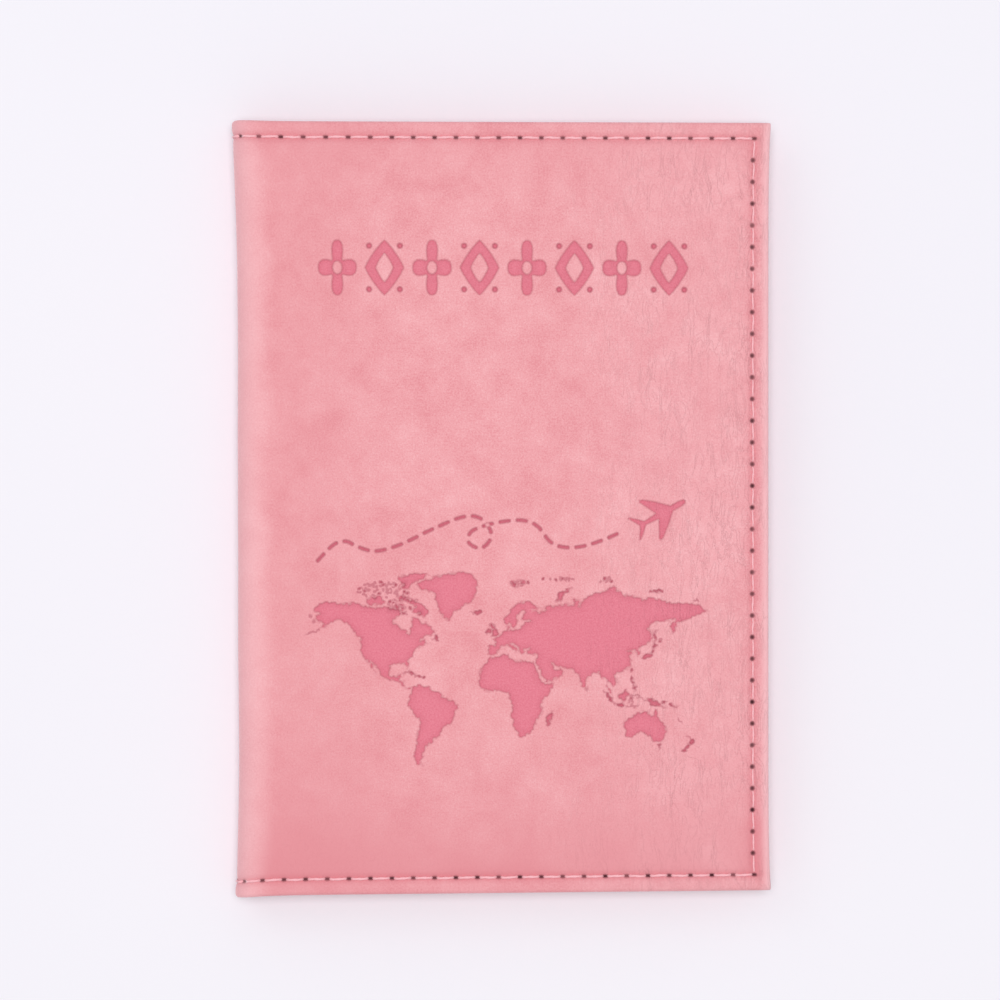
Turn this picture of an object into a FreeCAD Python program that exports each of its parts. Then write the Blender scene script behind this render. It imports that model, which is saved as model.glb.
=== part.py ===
import FreeCAD, Part
import os

import Sketcher
from FreeCAD import Placement, Rotation, Vector

# A travel passport cover, closed like a book. X runs from the spine (-X) to the open fore edge
# (+X), Y along the spine and Z from the back cover up to the front cover. The origin is under
# the centre of the closed cover, on the surface that it lies on.
#
# Both covers have the same build and are modelled with the outer face at z = 0 and the inside
# towards +z. The front cover is then turned over about the X axis to close on the back one.

DIMENSIONS = {
    # The closed cover.
    "cover_width": 100,
    "cover_length": 144,
    "closed_thickness": 10.2,
    # The layers of one cover, from the outside in.
    "skin_thickness": 0.6,
    "foam_thickness": 0.3,
    "board_thickness": 0.4,
    "interlining_thickness": 0.3,
    "lining_thickness": 0.2,
    # How far each layer stays inside the cover's edge.
    "hem_width": 5,
    "lining_inset": 1,
    "bed_setback": 4.6,
    "fold_clearance": 0.3,
    # The slip sleeves for the booklet's covers, sewn flat on three sides.
    "sleeve_thickness": 0.4,
    "sleeve_gap": 0.5,
    "front_sleeve_width": 94.5,
    "back_sleeve_width": 60,
    # The two card pockets on the front sleeve, open towards +Y.
    "pocket_thickness": 0.3,
    "pocket_gap": 0.3,
    "pocket_width": 88.8,
    "pocket_length": 57,
    "pocket_flange": 1.2,
    "pocket_spacing": 63,
    # The lockstitch seams.
    "seam_margin": 3,
    "seam_reach": 92,
    "end_stitches": 23,
    "side_stitches": 34,
    "thread_radius": 0.2,
    "side_thread_radius": 0.19,
    "thread_leg_radius": 0.16,
    "needle_hole_radius": 0.3,
    "groove_width": 0.6,
    "groove_depth": 0.5,
    "spine_stitch": 4,
    "pocket_seam_margin": 0.6,
    "pocket_stitch_pitch": 3.6,
    "pocket_stitch_length": 2.8,
    "pocket_end_stitches": 23,
    "pocket_side_stitches": 14,
    "pocket_thread_radius": 0.14,
}

HALF_WIDTH = "Dims.cover_width / 2"
HALF_LENGTH = "Dims.cover_length / 2"
BOARD_TOP = "(Dims.skin_thickness + Dims.foam_thickness + Dims.board_thickness)"
SHELL = f"({BOARD_TOP} + Dims.interlining_thickness)"
PANEL = f"({SHELL} + Dims.lining_thickness)"
FOLD = f"({PANEL} / 2)"
FOLD_X = f"({FOLD} - {HALF_WIDTH})"
SPINE_LOW = f"({PANEL} + Dims.fold_clearance)"
SPINE_HIGH = f"(Dims.closed_thickness - {SPINE_LOW})"
SLEEVE_TOP = f"({PANEL} + Dims.sleeve_gap + Dims.sleeve_thickness)"
SLEEVE_FLANGE_TOP = f"({PANEL} + Dims.sleeve_thickness)"
SEAM_X = f"({HALF_WIDTH} - Dims.seam_margin)"
SEAM_Y = f"({HALF_LENGTH} - Dims.seam_margin)"
SEAM_START = f"({SEAM_X} - Dims.seam_reach)"
THREAD_LIFT = "Dims.groove_depth / 2"
BEYOND = "1"

AXES = {
    "X": ("X_Axis", Rotation(Vector(0, 1, 0), 90)),
    "Y": ("Y_Axis", Rotation(Vector(1, 0, 0), -90)),
    "Z": ("Z_Axis", Rotation()),
}

document = FreeCAD.newDocument("passport_cover")
sheet = document.addObject("Spreadsheet::Sheet", "Dims")
subparts = []


def fill_sheet():
    for row, (alias, value) in enumerate(DIMENSIONS.items(), start=1):
        sheet.set(f"A{row}", alias)
        sheet.set(f"B{row}", str(value))
        sheet.setAlias(f"B{row}", alias)
    document.recompute()


def new_body(label):
    body = document.addObject("PartDesign::Body", label)
    body.Label = label
    body.AllowCompound = True
    subparts.append(body)
    return body


def turn_over(body):
    """Closes a front piece over the back cover: half a turn about X, then up."""
    body.Placement = Placement(Vector(), Rotation(Vector(1, 0, 0), 180))
    body.setExpression("Placement.Base.z", "Dims.closed_thickness")


def put(feature, position, rotation=Rotation()):
    """Places a feature at three expressions, x, y and z."""
    feature.Placement = Placement(Vector(), rotation)
    for axis, expression in zip("xyz", position, strict=True):
        feature.setExpression(f"Placement.Base.{axis}", expression)


def box(body, kind, name, x, y, z):
    """A box between pairs of expressions. kind is Additive or Subtractive."""
    feature = body.newObject(f"PartDesign::{kind}Box", name)
    for size, (low, high) in zip(("Length", "Width", "Height"), (x, y, z), strict=True):
        feature.setExpression(size, f"({high}) - ({low})")
    put(feature, (x[0], y[0], z[0]))
    body.Tip = feature
    return feature


def rod(body, kind, name, radius, axis, start, length):
    """A round bar from start along an axis. kind is Additive or Subtractive."""
    feature = body.newObject(f"PartDesign::{kind}Cylinder", name)
    feature.setExpression("Radius", radius)
    feature.setExpression("Height", length)
    put(feature, start, AXES[axis][1])
    body.Tip = feature
    return feature


def origin_feature(body, role):
    return next(item for item in body.Origin.OriginFeatures if item.Role == role)


def repeat(body, feature, axis, reach, stitches):
    """One copy of a feature at each end of every stitch along an axis."""
    pattern = body.newObject("PartDesign::LinearPattern", f"{feature.Name}_row")
    pattern.Originals = [feature]
    pattern.Direction = (origin_feature(body, AXES[axis][0]), [""])
    pattern.setExpression("Length", reach)
    pattern.setExpression("Occurrences", f"{stitches} + 1")
    body.Tip = pattern
    return pattern


def fix_point(sketch, place, name, point):
    """Ties a sketch point to two expressions, each a distance from the origin."""
    for kind, expression, axis in (("DistanceX", point[0], -2), ("DistanceY", point[1], -1)):
        if expression == "0":
            sketch.addConstraint(Sketcher.Constraint("PointOnObject", *place, axis))
            continue
        value = float(sketch.evalExpression(expression))
        index = sketch.addConstraint(Sketcher.Constraint(kind, -1, 1, *place, value))
        sketch.renameConstraint(index, f"{name}_{kind[-1]}")
        sketch.setExpression(f"Constraints.{name}_{kind[-1]}", expression)


def section_point(sketch, point):
    return Vector(*(float(sketch.evalExpression(value)) for value in point), 0)


def skin_section(sketch):
    """The cover's section: a flat sheet that turns a quarter of the way round the fold."""
    edge = {
        "fore_outer": (HALF_WIDTH, "0"),
        "fold_outer": (FOLD_X, "0"),
        "lip_outer": (f"-({HALF_WIDTH})", FOLD),
        "lip_inner": (f"Dims.skin_thickness - {HALF_WIDTH}", FOLD),
        "fold_inner": (FOLD_X, "Dims.skin_thickness"),
        "shell_inner": (FOLD_X, SHELL),
        "fore_inner": (HALF_WIDTH, SHELL),
    }
    arcs = {"fold_outer", "lip_inner"}
    names = list(edge)
    centre = section_point(sketch, (FOLD_X, FOLD))
    for index, name in enumerate(names):
        start = section_point(sketch, edge[name])
        end = section_point(sketch, edge[names[(index + 1) % len(names)]])
        if name in arcs:
            middle = (start + end) / 2 - centre
            middle = centre + middle.normalize() * (start - centre).Length
            sketch.addGeometry(Part.Arc(start, middle, end))
        else:
            sketch.addGeometry(Part.LineSegment(start, end))
    start_vertex, end_vertex, centre_vertex = 1, 2, 3
    # The outer arc runs against the outline and the inner one with it, as their angles do.
    ends = {}
    for index, name in enumerate(names):
        first, last = start_vertex, end_vertex
        if name in arcs:
            vertex = sketch.getPoint(index, start_vertex)
            if (vertex - section_point(sketch, edge[name])).Length > 1e-6:
                first, last = end_vertex, start_vertex
        ends[index] = (first, last)
    for index, name in enumerate(names):
        following = (index + 1) % len(names)
        sketch.addConstraint(
            Sketcher.Constraint("Coincident", index, ends[index][1], following, ends[following][0])
        )
        fix_point(sketch, (index, ends[index][0]), name, edge[name])
    for name in arcs:
        index = names.index(name)
        value = float(sketch.evalExpression(FOLD_X))
        tie = sketch.addConstraint(
            Sketcher.Constraint("DistanceX", -1, 1, index, centre_vertex, value)
        )
        sketch.renameConstraint(tie, f"{name}_centre")
        sketch.setExpression(f"Constraints.{name}_centre", FOLD_X)


def punch(body, radius, z):
    """The needle holes of the seam along the two ends and the fore edge, through z."""
    depth = f"({z[1]}) - ({z[0]})"
    for name, y in (("upper", SEAM_Y), ("lower", f"-{SEAM_Y}")):
        hole = rod(body, "Subtractive", f"{body.Name}_{name}_holes", radius, "Z",
                   (SEAM_START, y, z[0]), depth)
        repeat(body, hole, "X", "Dims.seam_reach", "Dims.end_stitches")
    hole = rod(body, "Subtractive", f"{body.Name}_side_holes", radius, "Z",
               (SEAM_X, f"-{SEAM_Y}", z[0]), depth)
    repeat(body, hole, "Y", f"2 * {SEAM_Y}", "Dims.side_stitches")


def add_skin(side):
    """The outer skin of one cover, its hem turned in round the boards on three sides."""
    body = new_body(f"{side}_skin")
    sketch = body.newObject("Sketcher::SketchObject", f"{side}_skin_section")
    sketch.AttachmentSupport = [(origin_feature(body, "XZ_Plane"), "")]
    sketch.MapMode = "FlatFace"
    skin_section(sketch)
    pad = body.newObject("PartDesign::Pad", f"{side}_skin_pad")
    pad.Profile = sketch
    pad.SideType = "Symmetric"
    pad.setExpression("Length", "Dims.cover_length")
    body.Tip = pad
    document.recompute()
    width = f"{HALF_WIDTH} - Dims.hem_width"
    length = f"({HALF_LENGTH} - Dims.hem_width)"
    box(body, "Subtractive", f"{side}_board_bed", (FOLD_X, width), (f"-{length}", length),
        ("Dims.skin_thickness", f"{SHELL} + {BEYOND}"))
    half_groove = "Dims.groove_width / 2"
    depth = (f"-{BEYOND}", "Dims.groove_depth")
    run = (f"{SEAM_START} - {half_groove}", f"{SEAM_X} + {half_groove}")
    for name, y in (("upper", SEAM_Y), ("lower", f"-{SEAM_Y}")):
        box(body, "Subtractive", f"{side}_{name}_groove", run,
            (f"{y} - {half_groove}", f"{y} + {half_groove}"), depth)
    box(body, "Subtractive", f"{side}_side_groove",
        (f"{SEAM_X} - {half_groove}", f"{SEAM_X} + {half_groove}"),
        (f"-{SEAM_Y}", SEAM_Y), depth)
    punch(body, "Dims.needle_hole_radius", ("0", f"{SHELL} + {BEYOND}"))
    return body


def add_layer(side, name, low, high):
    """A flat layer in the bed between the turned hems, set back from the fold."""
    body = new_body(f"{side}_{name}")
    length = f"({HALF_LENGTH} - Dims.hem_width)"
    box(body, "Additive", f"{side}_{name}_sheet",
        (f"{FOLD_X} + Dims.bed_setback", f"{HALF_WIDTH} - Dims.hem_width"),
        (f"-{length}", length), (low, high))
    return body


def add_lining(side):
    """The lining glued over the hems and the interlining."""
    body = new_body(f"{side}_lining")
    length = f"({HALF_LENGTH} - Dims.lining_inset)"
    box(body, "Additive", f"{side}_lining_sheet", (FOLD_X, f"{HALF_WIDTH} - Dims.lining_inset"),
        (f"-{length}", length), (SHELL, PANEL))
    punch(body, "Dims.needle_hole_radius", (SHELL, PANEL))
    return body


def add_sleeve(side):
    """A slip sleeve: flat where it is sewn and raised over the booklet's cover."""
    body = new_body(f"{side}_sleeve")
    fore = f"({HALF_WIDTH} - Dims.lining_inset)"
    opening = f"({fore} - Dims.{side}_sleeve_width)"
    length = f"({HALF_LENGTH} - Dims.lining_inset)"
    inner = f"({HALF_LENGTH} - Dims.hem_width)"
    wall = "Dims.sleeve_thickness"
    hollow_end = f"({HALF_WIDTH} - Dims.hem_width)"
    box(body, "Additive", f"{side}_sleeve_flange", (opening, fore), (f"-{length}", length),
        (PANEL, SLEEVE_FLANGE_TOP))
    box(body, "Additive", f"{side}_sleeve_raised", (opening, f"{hollow_end} + {wall}"),
        (f"-{inner} - {wall}", f"{inner} + {wall}"), (PANEL, SLEEVE_TOP))
    box(body, "Subtractive", f"{side}_sleeve_hollow", (f"{opening} - {BEYOND}", hollow_end),
        (f"-{inner}", inner), (f"{PANEL} - {BEYOND}", f"{PANEL} + Dims.sleeve_gap"))
    punch(body, "Dims.needle_hole_radius", (PANEL, SLEEVE_FLANGE_TOP))
    return body


def add_thread(side, name, rail, hidden):
    """One thread of the lockstitch: a run along three edges at the height rail, and a leg in
    each needle hole to the height hidden, where the two threads meet."""
    body = new_body(f"{side}_{name}_thread")
    ends = (("upper", SEAM_Y), ("lower", f"-{SEAM_Y}"))
    for end, y in ends:
        rod(body, "Additive", f"{body.Name}_{end}_run", "Dims.thread_radius", "X",
            (SEAM_START, y, rail), "Dims.seam_reach")
    rod(body, "Additive", f"{body.Name}_side_run", "Dims.side_thread_radius", "Y",
        (SEAM_X, f"-{SEAM_Y}", rail), f"2 * {SEAM_Y}")
    low, high = (rail, hidden) if name == "needle" else (hidden, rail)
    leg_length = f"({high}) - ({low})"
    for end, y in ends:
        leg = rod(body, "Additive", f"{body.Name}_{end}_legs", "Dims.thread_leg_radius", "Z",
                  (SEAM_START, y, low), leg_length)
        repeat(body, leg, "X", "Dims.seam_reach", "Dims.end_stitches")
    leg = rod(body, "Additive", f"{body.Name}_side_legs", "Dims.thread_leg_radius", "Z",
              (SEAM_X, f"-{SEAM_Y}", low), leg_length)
    repeat(body, leg, "Y", f"2 * {SEAM_Y}", "Dims.side_stitches")
    return body


def add_cover(side):
    """All the sewn layers of one cover, from the outside in."""
    foam_top = "(Dims.skin_thickness + Dims.foam_thickness)"
    return [
        add_skin(side),
        add_layer(side, "foam", "Dims.skin_thickness", foam_top),
        add_layer(side, "board", foam_top, BOARD_TOP),
        add_layer(side, "interlining", BOARD_TOP, SHELL),
        add_lining(side),
        add_sleeve(side),
        add_thread(side, "needle", THREAD_LIFT, FOLD),
        add_thread(side, "bobbin", f"{SLEEVE_FLANGE_TOP} + {THREAD_LIFT}", FOLD),
    ]


def pocket_middle(name):
    """Where a card pocket's middle is along the spine, before the cover is turned over."""
    sign = {"upper": "-", "lower": ""}[name]
    return f"{sign}Dims.pocket_spacing / 2"


def add_card_pocket(name):
    """A card pocket: flat where it is sewn, raised over the card and open at one end."""
    body = new_body(f"{name}_card_pocket")
    middle = pocket_middle(name)
    half_width = "Dims.pocket_width / 2"
    opening = f"({middle} - Dims.pocket_length / 2)"
    closed = f"({middle} + Dims.pocket_length / 2)"
    hollow_half = f"({half_width} - Dims.pocket_flange)"
    hollow_end = f"({closed} - Dims.pocket_flange)"
    wall = "Dims.pocket_thickness"
    ceiling = f"({SLEEVE_TOP} + Dims.pocket_gap)"
    box(body, "Additive", f"{name}_pocket_flange", (f"-{half_width}", half_width),
        (opening, closed), (SLEEVE_TOP, f"{SLEEVE_TOP} + {wall}"))
    box(body, "Additive", f"{name}_pocket_raised",
        (f"-{hollow_half} - {wall}", f"{hollow_half} + {wall}"),
        (opening, f"{hollow_end} + {wall}"), (SLEEVE_TOP, f"{ceiling} + {wall}"))
    box(body, "Subtractive", f"{name}_pocket_hollow", (f"-{hollow_half}", hollow_half),
        (f"{opening} - {BEYOND}", hollow_end), (f"{SLEEVE_TOP} - {BEYOND}", ceiling))
    return body


def add_pocket_stitches(name):
    """The stitches that show on three edges of a card pocket's flange, each its own solid."""
    body = new_body(f"{name}_pocket_stitches")
    middle = pocket_middle(name)
    radius = "Dims.pocket_thread_radius"
    height = f"{SLEEVE_TOP} + Dims.pocket_thickness + {radius} * 1.1"
    x = "(Dims.pocket_width / 2 - Dims.pocket_seam_margin)"
    closed = f"({middle} + Dims.pocket_length / 2 - Dims.pocket_seam_margin)"
    end_reach = "(Dims.pocket_end_stitches * Dims.pocket_stitch_pitch)"
    side_reach = "(Dims.pocket_side_stitches * Dims.pocket_stitch_pitch)"
    half_run = "Dims.pocket_stitch_length / 2"
    stitch = rod(body, "Additive", f"{name}_end_stitch", radius, "X",
                 (f"-{end_reach} / 2 - {half_run}", closed, height), "Dims.pocket_stitch_length")
    repeat(body, stitch, "X", end_reach, "Dims.pocket_end_stitches")
    start = f"{closed} - {side_reach} - Dims.pocket_stitch_length - {half_run}"
    for edge, across in (("left", f"-{x}"), ("right", x)):
        stitch = rod(body, "Additive", f"{name}_{edge}_stitch", radius, "Y",
                     (across, start, height), "Dims.pocket_stitch_length")
        repeat(body, stitch, "Y", side_reach, "Dims.pocket_side_stitches")
    return body


def spine_depth(thickness):
    """How far across the spine a depth from its outer face comes."""
    return f"({thickness} - {HALF_WIDTH})"


def spine_holes(body, x):
    """Two needle holes near each end of the spine, through x."""
    z = "Dims.closed_thickness / 2 - Dims.spine_stitch / 2"
    for end, y in (("upper", SEAM_Y), ("lower", f"-{SEAM_Y}")):
        hole = rod(body, "Subtractive", f"{body.Name}_{end}_holes", "Dims.needle_hole_radius",
                   "X", (x[0], y, z), f"({x[1]}) - ({x[0]})")
        repeat(body, hole, "Z", "Dims.spine_stitch", "1")


def add_spine_skin():
    """The strip of skin between the folds, with a bed for its foam and two stitch grooves."""
    body = new_body("spine_skin")
    bed = "(Dims.skin_thickness + Dims.foam_thickness)"
    length = f"({HALF_LENGTH} - Dims.hem_width)"
    half_groove = "Dims.groove_width / 2"
    half_stitch = "Dims.spine_stitch / 2"
    middle = "Dims.closed_thickness / 2"
    groove = (f"{middle} - {half_stitch} - {half_groove}",
              f"{middle} + {half_stitch} + {half_groove}")
    box(body, "Additive", "spine_skin_strip", (f"-{HALF_WIDTH}", spine_depth(bed)),
        (f"-{HALF_LENGTH}", HALF_LENGTH), (SPINE_LOW, SPINE_HIGH))
    box(body, "Subtractive", "spine_foam_bed",
        (spine_depth("Dims.skin_thickness"), f"{spine_depth(bed)} + {BEYOND}"),
        (f"-{length}", length), (f"{SPINE_LOW} - {BEYOND}", f"{SPINE_HIGH} + {BEYOND}"))
    for name, y in (("upper", SEAM_Y), ("lower", f"-{SEAM_Y}")):
        box(body, "Subtractive", f"spine_{name}_groove",
            (f"-{HALF_WIDTH} - {BEYOND}", spine_depth("Dims.groove_depth")),
            (f"{y} - {half_groove}", f"{y} + {half_groove}"), groove)
    spine_holes(body, (f"-{HALF_WIDTH}", f"{spine_depth(bed)} + {BEYOND}"))


def add_spine_layer(name, inset, low, high):
    body = new_body(f"spine_{name}")
    length = f"({HALF_LENGTH} - {inset})"
    box(body, "Additive", f"spine_{name}_sheet", (spine_depth(low), spine_depth(high)),
        (f"-{length}", length), (SPINE_LOW, SPINE_HIGH))
    return body


def add_spine_thread(name, rail, hidden):
    """One thread of the stitch that crosses each end of the spine."""
    body = new_body(f"spine_{name}_thread")
    z = "Dims.closed_thickness / 2 - Dims.spine_stitch / 2"
    low, high = (rail, hidden) if name == "needle" else (hidden, rail)
    for end, y in (("upper", SEAM_Y), ("lower", f"-{SEAM_Y}")):
        rod(body, "Additive", f"spine_{name}_{end}_run", "Dims.thread_radius", "Z",
            (rail, y, z), "Dims.spine_stitch")
        leg = rod(body, "Additive", f"spine_{name}_{end}_legs", "Dims.thread_leg_radius", "X",
                  (low, y, z), f"({high}) - ({low})")
        repeat(body, leg, "Z", "Dims.spine_stitch", "1")
    return body


def add_spine():
    """The pieces between the two folds, modelled where they stand when the cover is closed."""
    bed = "(Dims.skin_thickness + Dims.foam_thickness)"
    lined = f"({bed} + Dims.lining_thickness)"
    hidden = spine_depth(f"{bed} * 3 / 4")
    add_spine_skin()
    add_spine_layer("foam", "Dims.hem_width", "Dims.skin_thickness", bed)
    lining = add_spine_layer("lining", "Dims.lining_inset", bed, lined)
    spine_holes(lining, (spine_depth(bed), spine_depth(lined)))
    add_spine_thread("needle", spine_depth(THREAD_LIFT), hidden)
    add_spine_thread("bobbin", spine_depth(f"{lined} + {THREAD_LIFT}"), hidden)


def check():
    document.recompute()
    for item in document.Objects:
        if {"Invalid", "Error"} & set(item.State):
            raise RuntimeError(f"{item.Label} failed: {item.State}")
    for body in subparts:
        if body.Shape.isNull() or not body.Shape.isValid() or not body.Shape.Solids:
            raise RuntimeError(f"{body.Label} has no valid shape")
        print(body.Label, len(body.Shape.Solids), round(body.Shape.Volume, 2))


def write():
    os.makedirs("parts", exist_ok=True)
    for body in subparts:
        body.Shape.exportStep(f"parts/{body.Label}.step")


fill_sheet()
add_cover("back")
add_spine()
front = add_cover("front")
front += [add_card_pocket(name) for name in ("upper", "lower")]
front += [add_pocket_stitches(name) for name in ("upper", "lower")]
for piece in front:
    turn_over(piece)
check()
write()
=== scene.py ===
import math
import random

import bpy
import numpy as np
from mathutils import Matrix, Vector, kdtree, noise
from mathutils.geometry import delaunay_2d_cdt


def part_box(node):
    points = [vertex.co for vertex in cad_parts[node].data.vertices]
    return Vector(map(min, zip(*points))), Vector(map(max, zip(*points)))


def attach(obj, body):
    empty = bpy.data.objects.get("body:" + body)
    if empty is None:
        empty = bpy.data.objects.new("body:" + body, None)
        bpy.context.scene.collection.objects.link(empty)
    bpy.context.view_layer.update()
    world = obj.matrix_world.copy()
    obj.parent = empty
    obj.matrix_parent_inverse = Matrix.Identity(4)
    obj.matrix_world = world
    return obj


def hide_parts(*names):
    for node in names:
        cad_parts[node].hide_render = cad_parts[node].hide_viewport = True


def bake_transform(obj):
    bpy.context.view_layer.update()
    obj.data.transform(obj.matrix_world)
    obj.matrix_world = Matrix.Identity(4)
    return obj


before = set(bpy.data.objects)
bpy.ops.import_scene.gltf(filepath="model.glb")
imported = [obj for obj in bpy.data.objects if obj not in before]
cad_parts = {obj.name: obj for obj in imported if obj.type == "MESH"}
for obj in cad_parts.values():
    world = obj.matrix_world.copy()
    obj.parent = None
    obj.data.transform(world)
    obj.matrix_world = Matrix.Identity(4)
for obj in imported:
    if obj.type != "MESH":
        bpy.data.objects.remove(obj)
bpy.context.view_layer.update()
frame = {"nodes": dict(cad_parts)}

# The closed passport cover, in the row's frame: +X to the fore edge, +Y along the spine and +Z
# up to the front cover. Lengths in this script are in millimetres until a mesh is made.
MM = 0.001


def box_mm(node):
    low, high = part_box(node)
    return [value / MM for value in low], [value / MM for value in high]


_, skin_high = box_mm("front_skin")
lining_low, lining_high = box_mm("front_lining")
sleeve_low, sleeve_high = box_mm("front_sleeve")
back_sleeve_low, back_sleeve_high = box_mm("back_sleeve")
pocket_boxes = {name: box_mm(f"{name}_card_pocket") for name in ("upper", "lower")}
thread_low, thread_high = box_mm("front_needle_thread")
foam_box = box_mm("spine_foam")

HALF_WIDTH, HALF_LENGTH, TOP = skin_high
MIDDLE = TOP / 2
PANEL = TOP - lining_low[2]
LINING = lining_high[2] - lining_low[2]
THREAD_RADIUS = 0.2
SEAM_X = thread_high[0] - THREAD_RADIUS
SEAM_Y = thread_high[1] - THREAD_RADIUS
END_STITCHES = 23
SIDE_STITCHES = 34
SLEEVE = 0.4
SLEEVE_LIFT = (sleeve_high[2] - sleeve_low[2]) - SLEEVE
POCKET = 0.3
POCKET_LIFT = 0.3

# The spine turns into each cover on this radius. The fold's axis lies half a panel inside the
# corner, and this radius unrolls about it with no stretch.
SPINE_RADIUS = PANEL / 2 / 0.215
SPINE_FLAT = MIDDLE - SPINE_RADIUS
QUARTER = math.pi / 2 * SPINE_RADIUS
FLAT_START = SPINE_RADIUS - HALF_WIDTH
SPINE_MIDDLE = FLAT_START - QUARTER - SPINE_FLAT

# The turned edge: the skin rolls round on this radius and runs on a little under the cover.
# SQUARE is the power of the corner's curve: 2 would be a round corner.
ROLL = 0.7
CORNER = 0.3
SQUARE = 5
HEM = 0.8
WRAP = math.pi * ROLL + HEM
EDGE_X = HALF_WIDTH - ROLL
EDGE_Y = HALF_LENGTH - ROLL

# The skin's inner face, its puff inside the seam, and how far the seam, the needle holes and the
# pressed artwork go in.
SKIN_INSIDE = 0.5
PUFF = 0.5
SEAM_DEPTH = 0.26
SEAM_FLOOR = -0.2
PRESS_DEPTH = 0.36
HOLE_DEPTH = 0.2
HOLE_RADIUS = 0.38
HOLE_SHIFT = 0.13

# The thread: a stitch's height over the skin and depth in it, its wander, and the tube's make.
STITCH_RISE = 0.22
STITCH_SINK = 0.34
STITCH_SWAY = 0.07
STITCH_LEAN = 0.05
STITCH_START = 0.11
STITCH_REACH = 0.78
PLIES = 2
PLY_TWIST = 1.1
TUBE_SIDES = 8


def smooth(value, low, high):
    """0 below low, 1 above high, and an S between."""
    share = np.clip((value - low) / (high - low), 0, 1)
    return share * share * (3 - 2 * share)


def field(u, y, size, seed=0.0):
    """Smooth noise from -1 to 1 with features of about a size."""
    return noise.noise(Vector((u / size + 17.3 * seed, y / size - 9.1 * seed, seed)))


# ---------------------------------------------------------------- the shape of a cover

# The spine's inset fades out between these places across the cover.
INSET_FADE = (-46, -22)


def spine_inset(y):
    """The spine is drawn in a little between its two ends, which flare out."""
    near_top = math.exp(-max(HALF_LENGTH - y, 0) / 12)
    near_bottom = math.exp(-max(HALF_LENGTH + y, 0) / 7)
    waist = math.exp(-((y + 48) / 16) ** 2)
    return 0.45 + 0.3 * waist - 1.75 * near_top - 1.1 * near_bottom


def taper(x, y):
    """The cover is a little shorter at the fore edge, and its fore edge is slightly hollow."""
    across = (x + HALF_WIDTH) / (2 * HALF_WIDTH)
    at_spine = math.exp(-max(x + HALF_WIDTH, 0) / 4)
    if y > 0:
        grow = 0.35 - 0.35 * across + 0.3 * at_spine
    else:
        grow = 0.68 - 1.05 * across + 0.6 * at_spine
    hollow = 0.5 * max(across, 0) ** 4 * (1 - math.exp(-max(HALF_LENGTH - abs(y), 0) / 6))
    return x - hollow, y * (1 + grow / HALF_LENGTH)


def section(u):
    """The section's outer line: a point, its tangent and its outward normal, each (x, z)."""
    if u >= FLAT_START:
        return (u, TOP), (1, 0), (0, 1)
    if u >= FLAT_START - QUARTER:
        turn = (u - FLAT_START + QUARTER) / SPINE_RADIUS
        away = (-math.cos(turn), math.sin(turn))
        point = (
            FLAT_START + SPINE_RADIUS * away[0],
            TOP - SPINE_RADIUS + SPINE_RADIUS * away[1],
        )
        return point, (away[1], -away[0]), away
    return (-HALF_WIDTH, MIDDLE + u - SPINE_MIDDLE), (0, 1), (-1, 0)


def past_edge(u, y):
    """How far (u, y) is past the line where the edge starts to roll, and which way is out."""
    du = max(u - EDGE_X + CORNER, 0)
    dy = max(abs(y) - EDGE_Y + CORNER, 0)
    far = (du ** SQUARE + dy ** SQUARE) ** (1 / SQUARE)
    if far <= CORNER:
        return min(far - CORNER, 0.0), 0.0, 0.0
    return far - CORNER, du / far, math.copysign(dy / far, y)


def cover_point(side, u, y, depth=0.0, height=0.0):
    """A point of a cover. depth goes in from the skin's outer face and height out of it."""
    far, out_u, out_y = past_edge(u, y)
    base_u, base_y = u - out_u * far, y - out_y * far
    (x, z), tangent, normal = section(base_u)
    turn = min(far / ROLL, math.pi)
    out, down = 0.0, depth
    if far > 0:
        out = (ROLL - depth) * math.sin(turn) - max(far - math.pi * ROLL, 0)
        down = ROLL - (ROLL - depth) * math.cos(turn)
    lift = height - down
    x += tangent[0] * out_u * out + normal[0] * lift
    z += tangent[1] * out_u * out + normal[1] * lift
    x += spine_inset(base_y) * (1 - smooth(base_u, *INSET_FADE))
    x, along = taper(x, base_y + out_y * out)
    if side == "back":
        z = TOP - z
    return Vector((x, along, z))


def seam_gap(u, y):
    """How far a point is inside the seam, and less than 0 in the border outside it."""
    return min(SEAM_X - u, SEAM_Y - abs(y))


def seam_lines():
    """The needle holes of the three edges in order, as lists of (u, y)."""
    pitch = (SEAM_X - thread_low[0] - THREAD_RADIUS) / END_STITCHES
    reach = int((SEAM_X - SPINE_MIDDLE) / pitch)
    ends = [SEAM_X - pitch * index for index in range(reach, -1, -1)]
    side = [SEAM_Y - 2 * SEAM_Y / SIDE_STITCHES * index for index in range(SIDE_STITCHES + 1)]
    upper = [(u, SEAM_Y) for u in ends]
    lower = [(u, -SEAM_Y) for u in reversed(ends)]
    return [upper, [(SEAM_X, y) for y in side], lower]


def needle_holes():
    """The holes in the skin. Beside the fore edge the thread pulls each one a little inwards."""
    upper, side, lower = seam_lines()
    return sorted({*upper, *lower, *((u - HOLE_SHIFT, y) for u, y in side[1:-1])})


HOLES = needle_holes()
hole_tree = kdtree.KDTree(len(HOLES))
for number, hole in enumerate(HOLES):
    hole_tree.insert((*hole, 0), number)
hole_tree.balance()


def hole_gap(u, y):
    """How far a point is from the nearest needle hole, which is a slot along an end seam."""
    (hole_u, hole_y, _), _, _ = hole_tree.find((u, y, 0))
    along, across = (1.0, 1.0) if abs(hole_y) < SEAM_Y - 0.01 else (0.75, 1.3)
    return math.hypot((u - hole_u) * along, (y - hole_y) * across)


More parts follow.
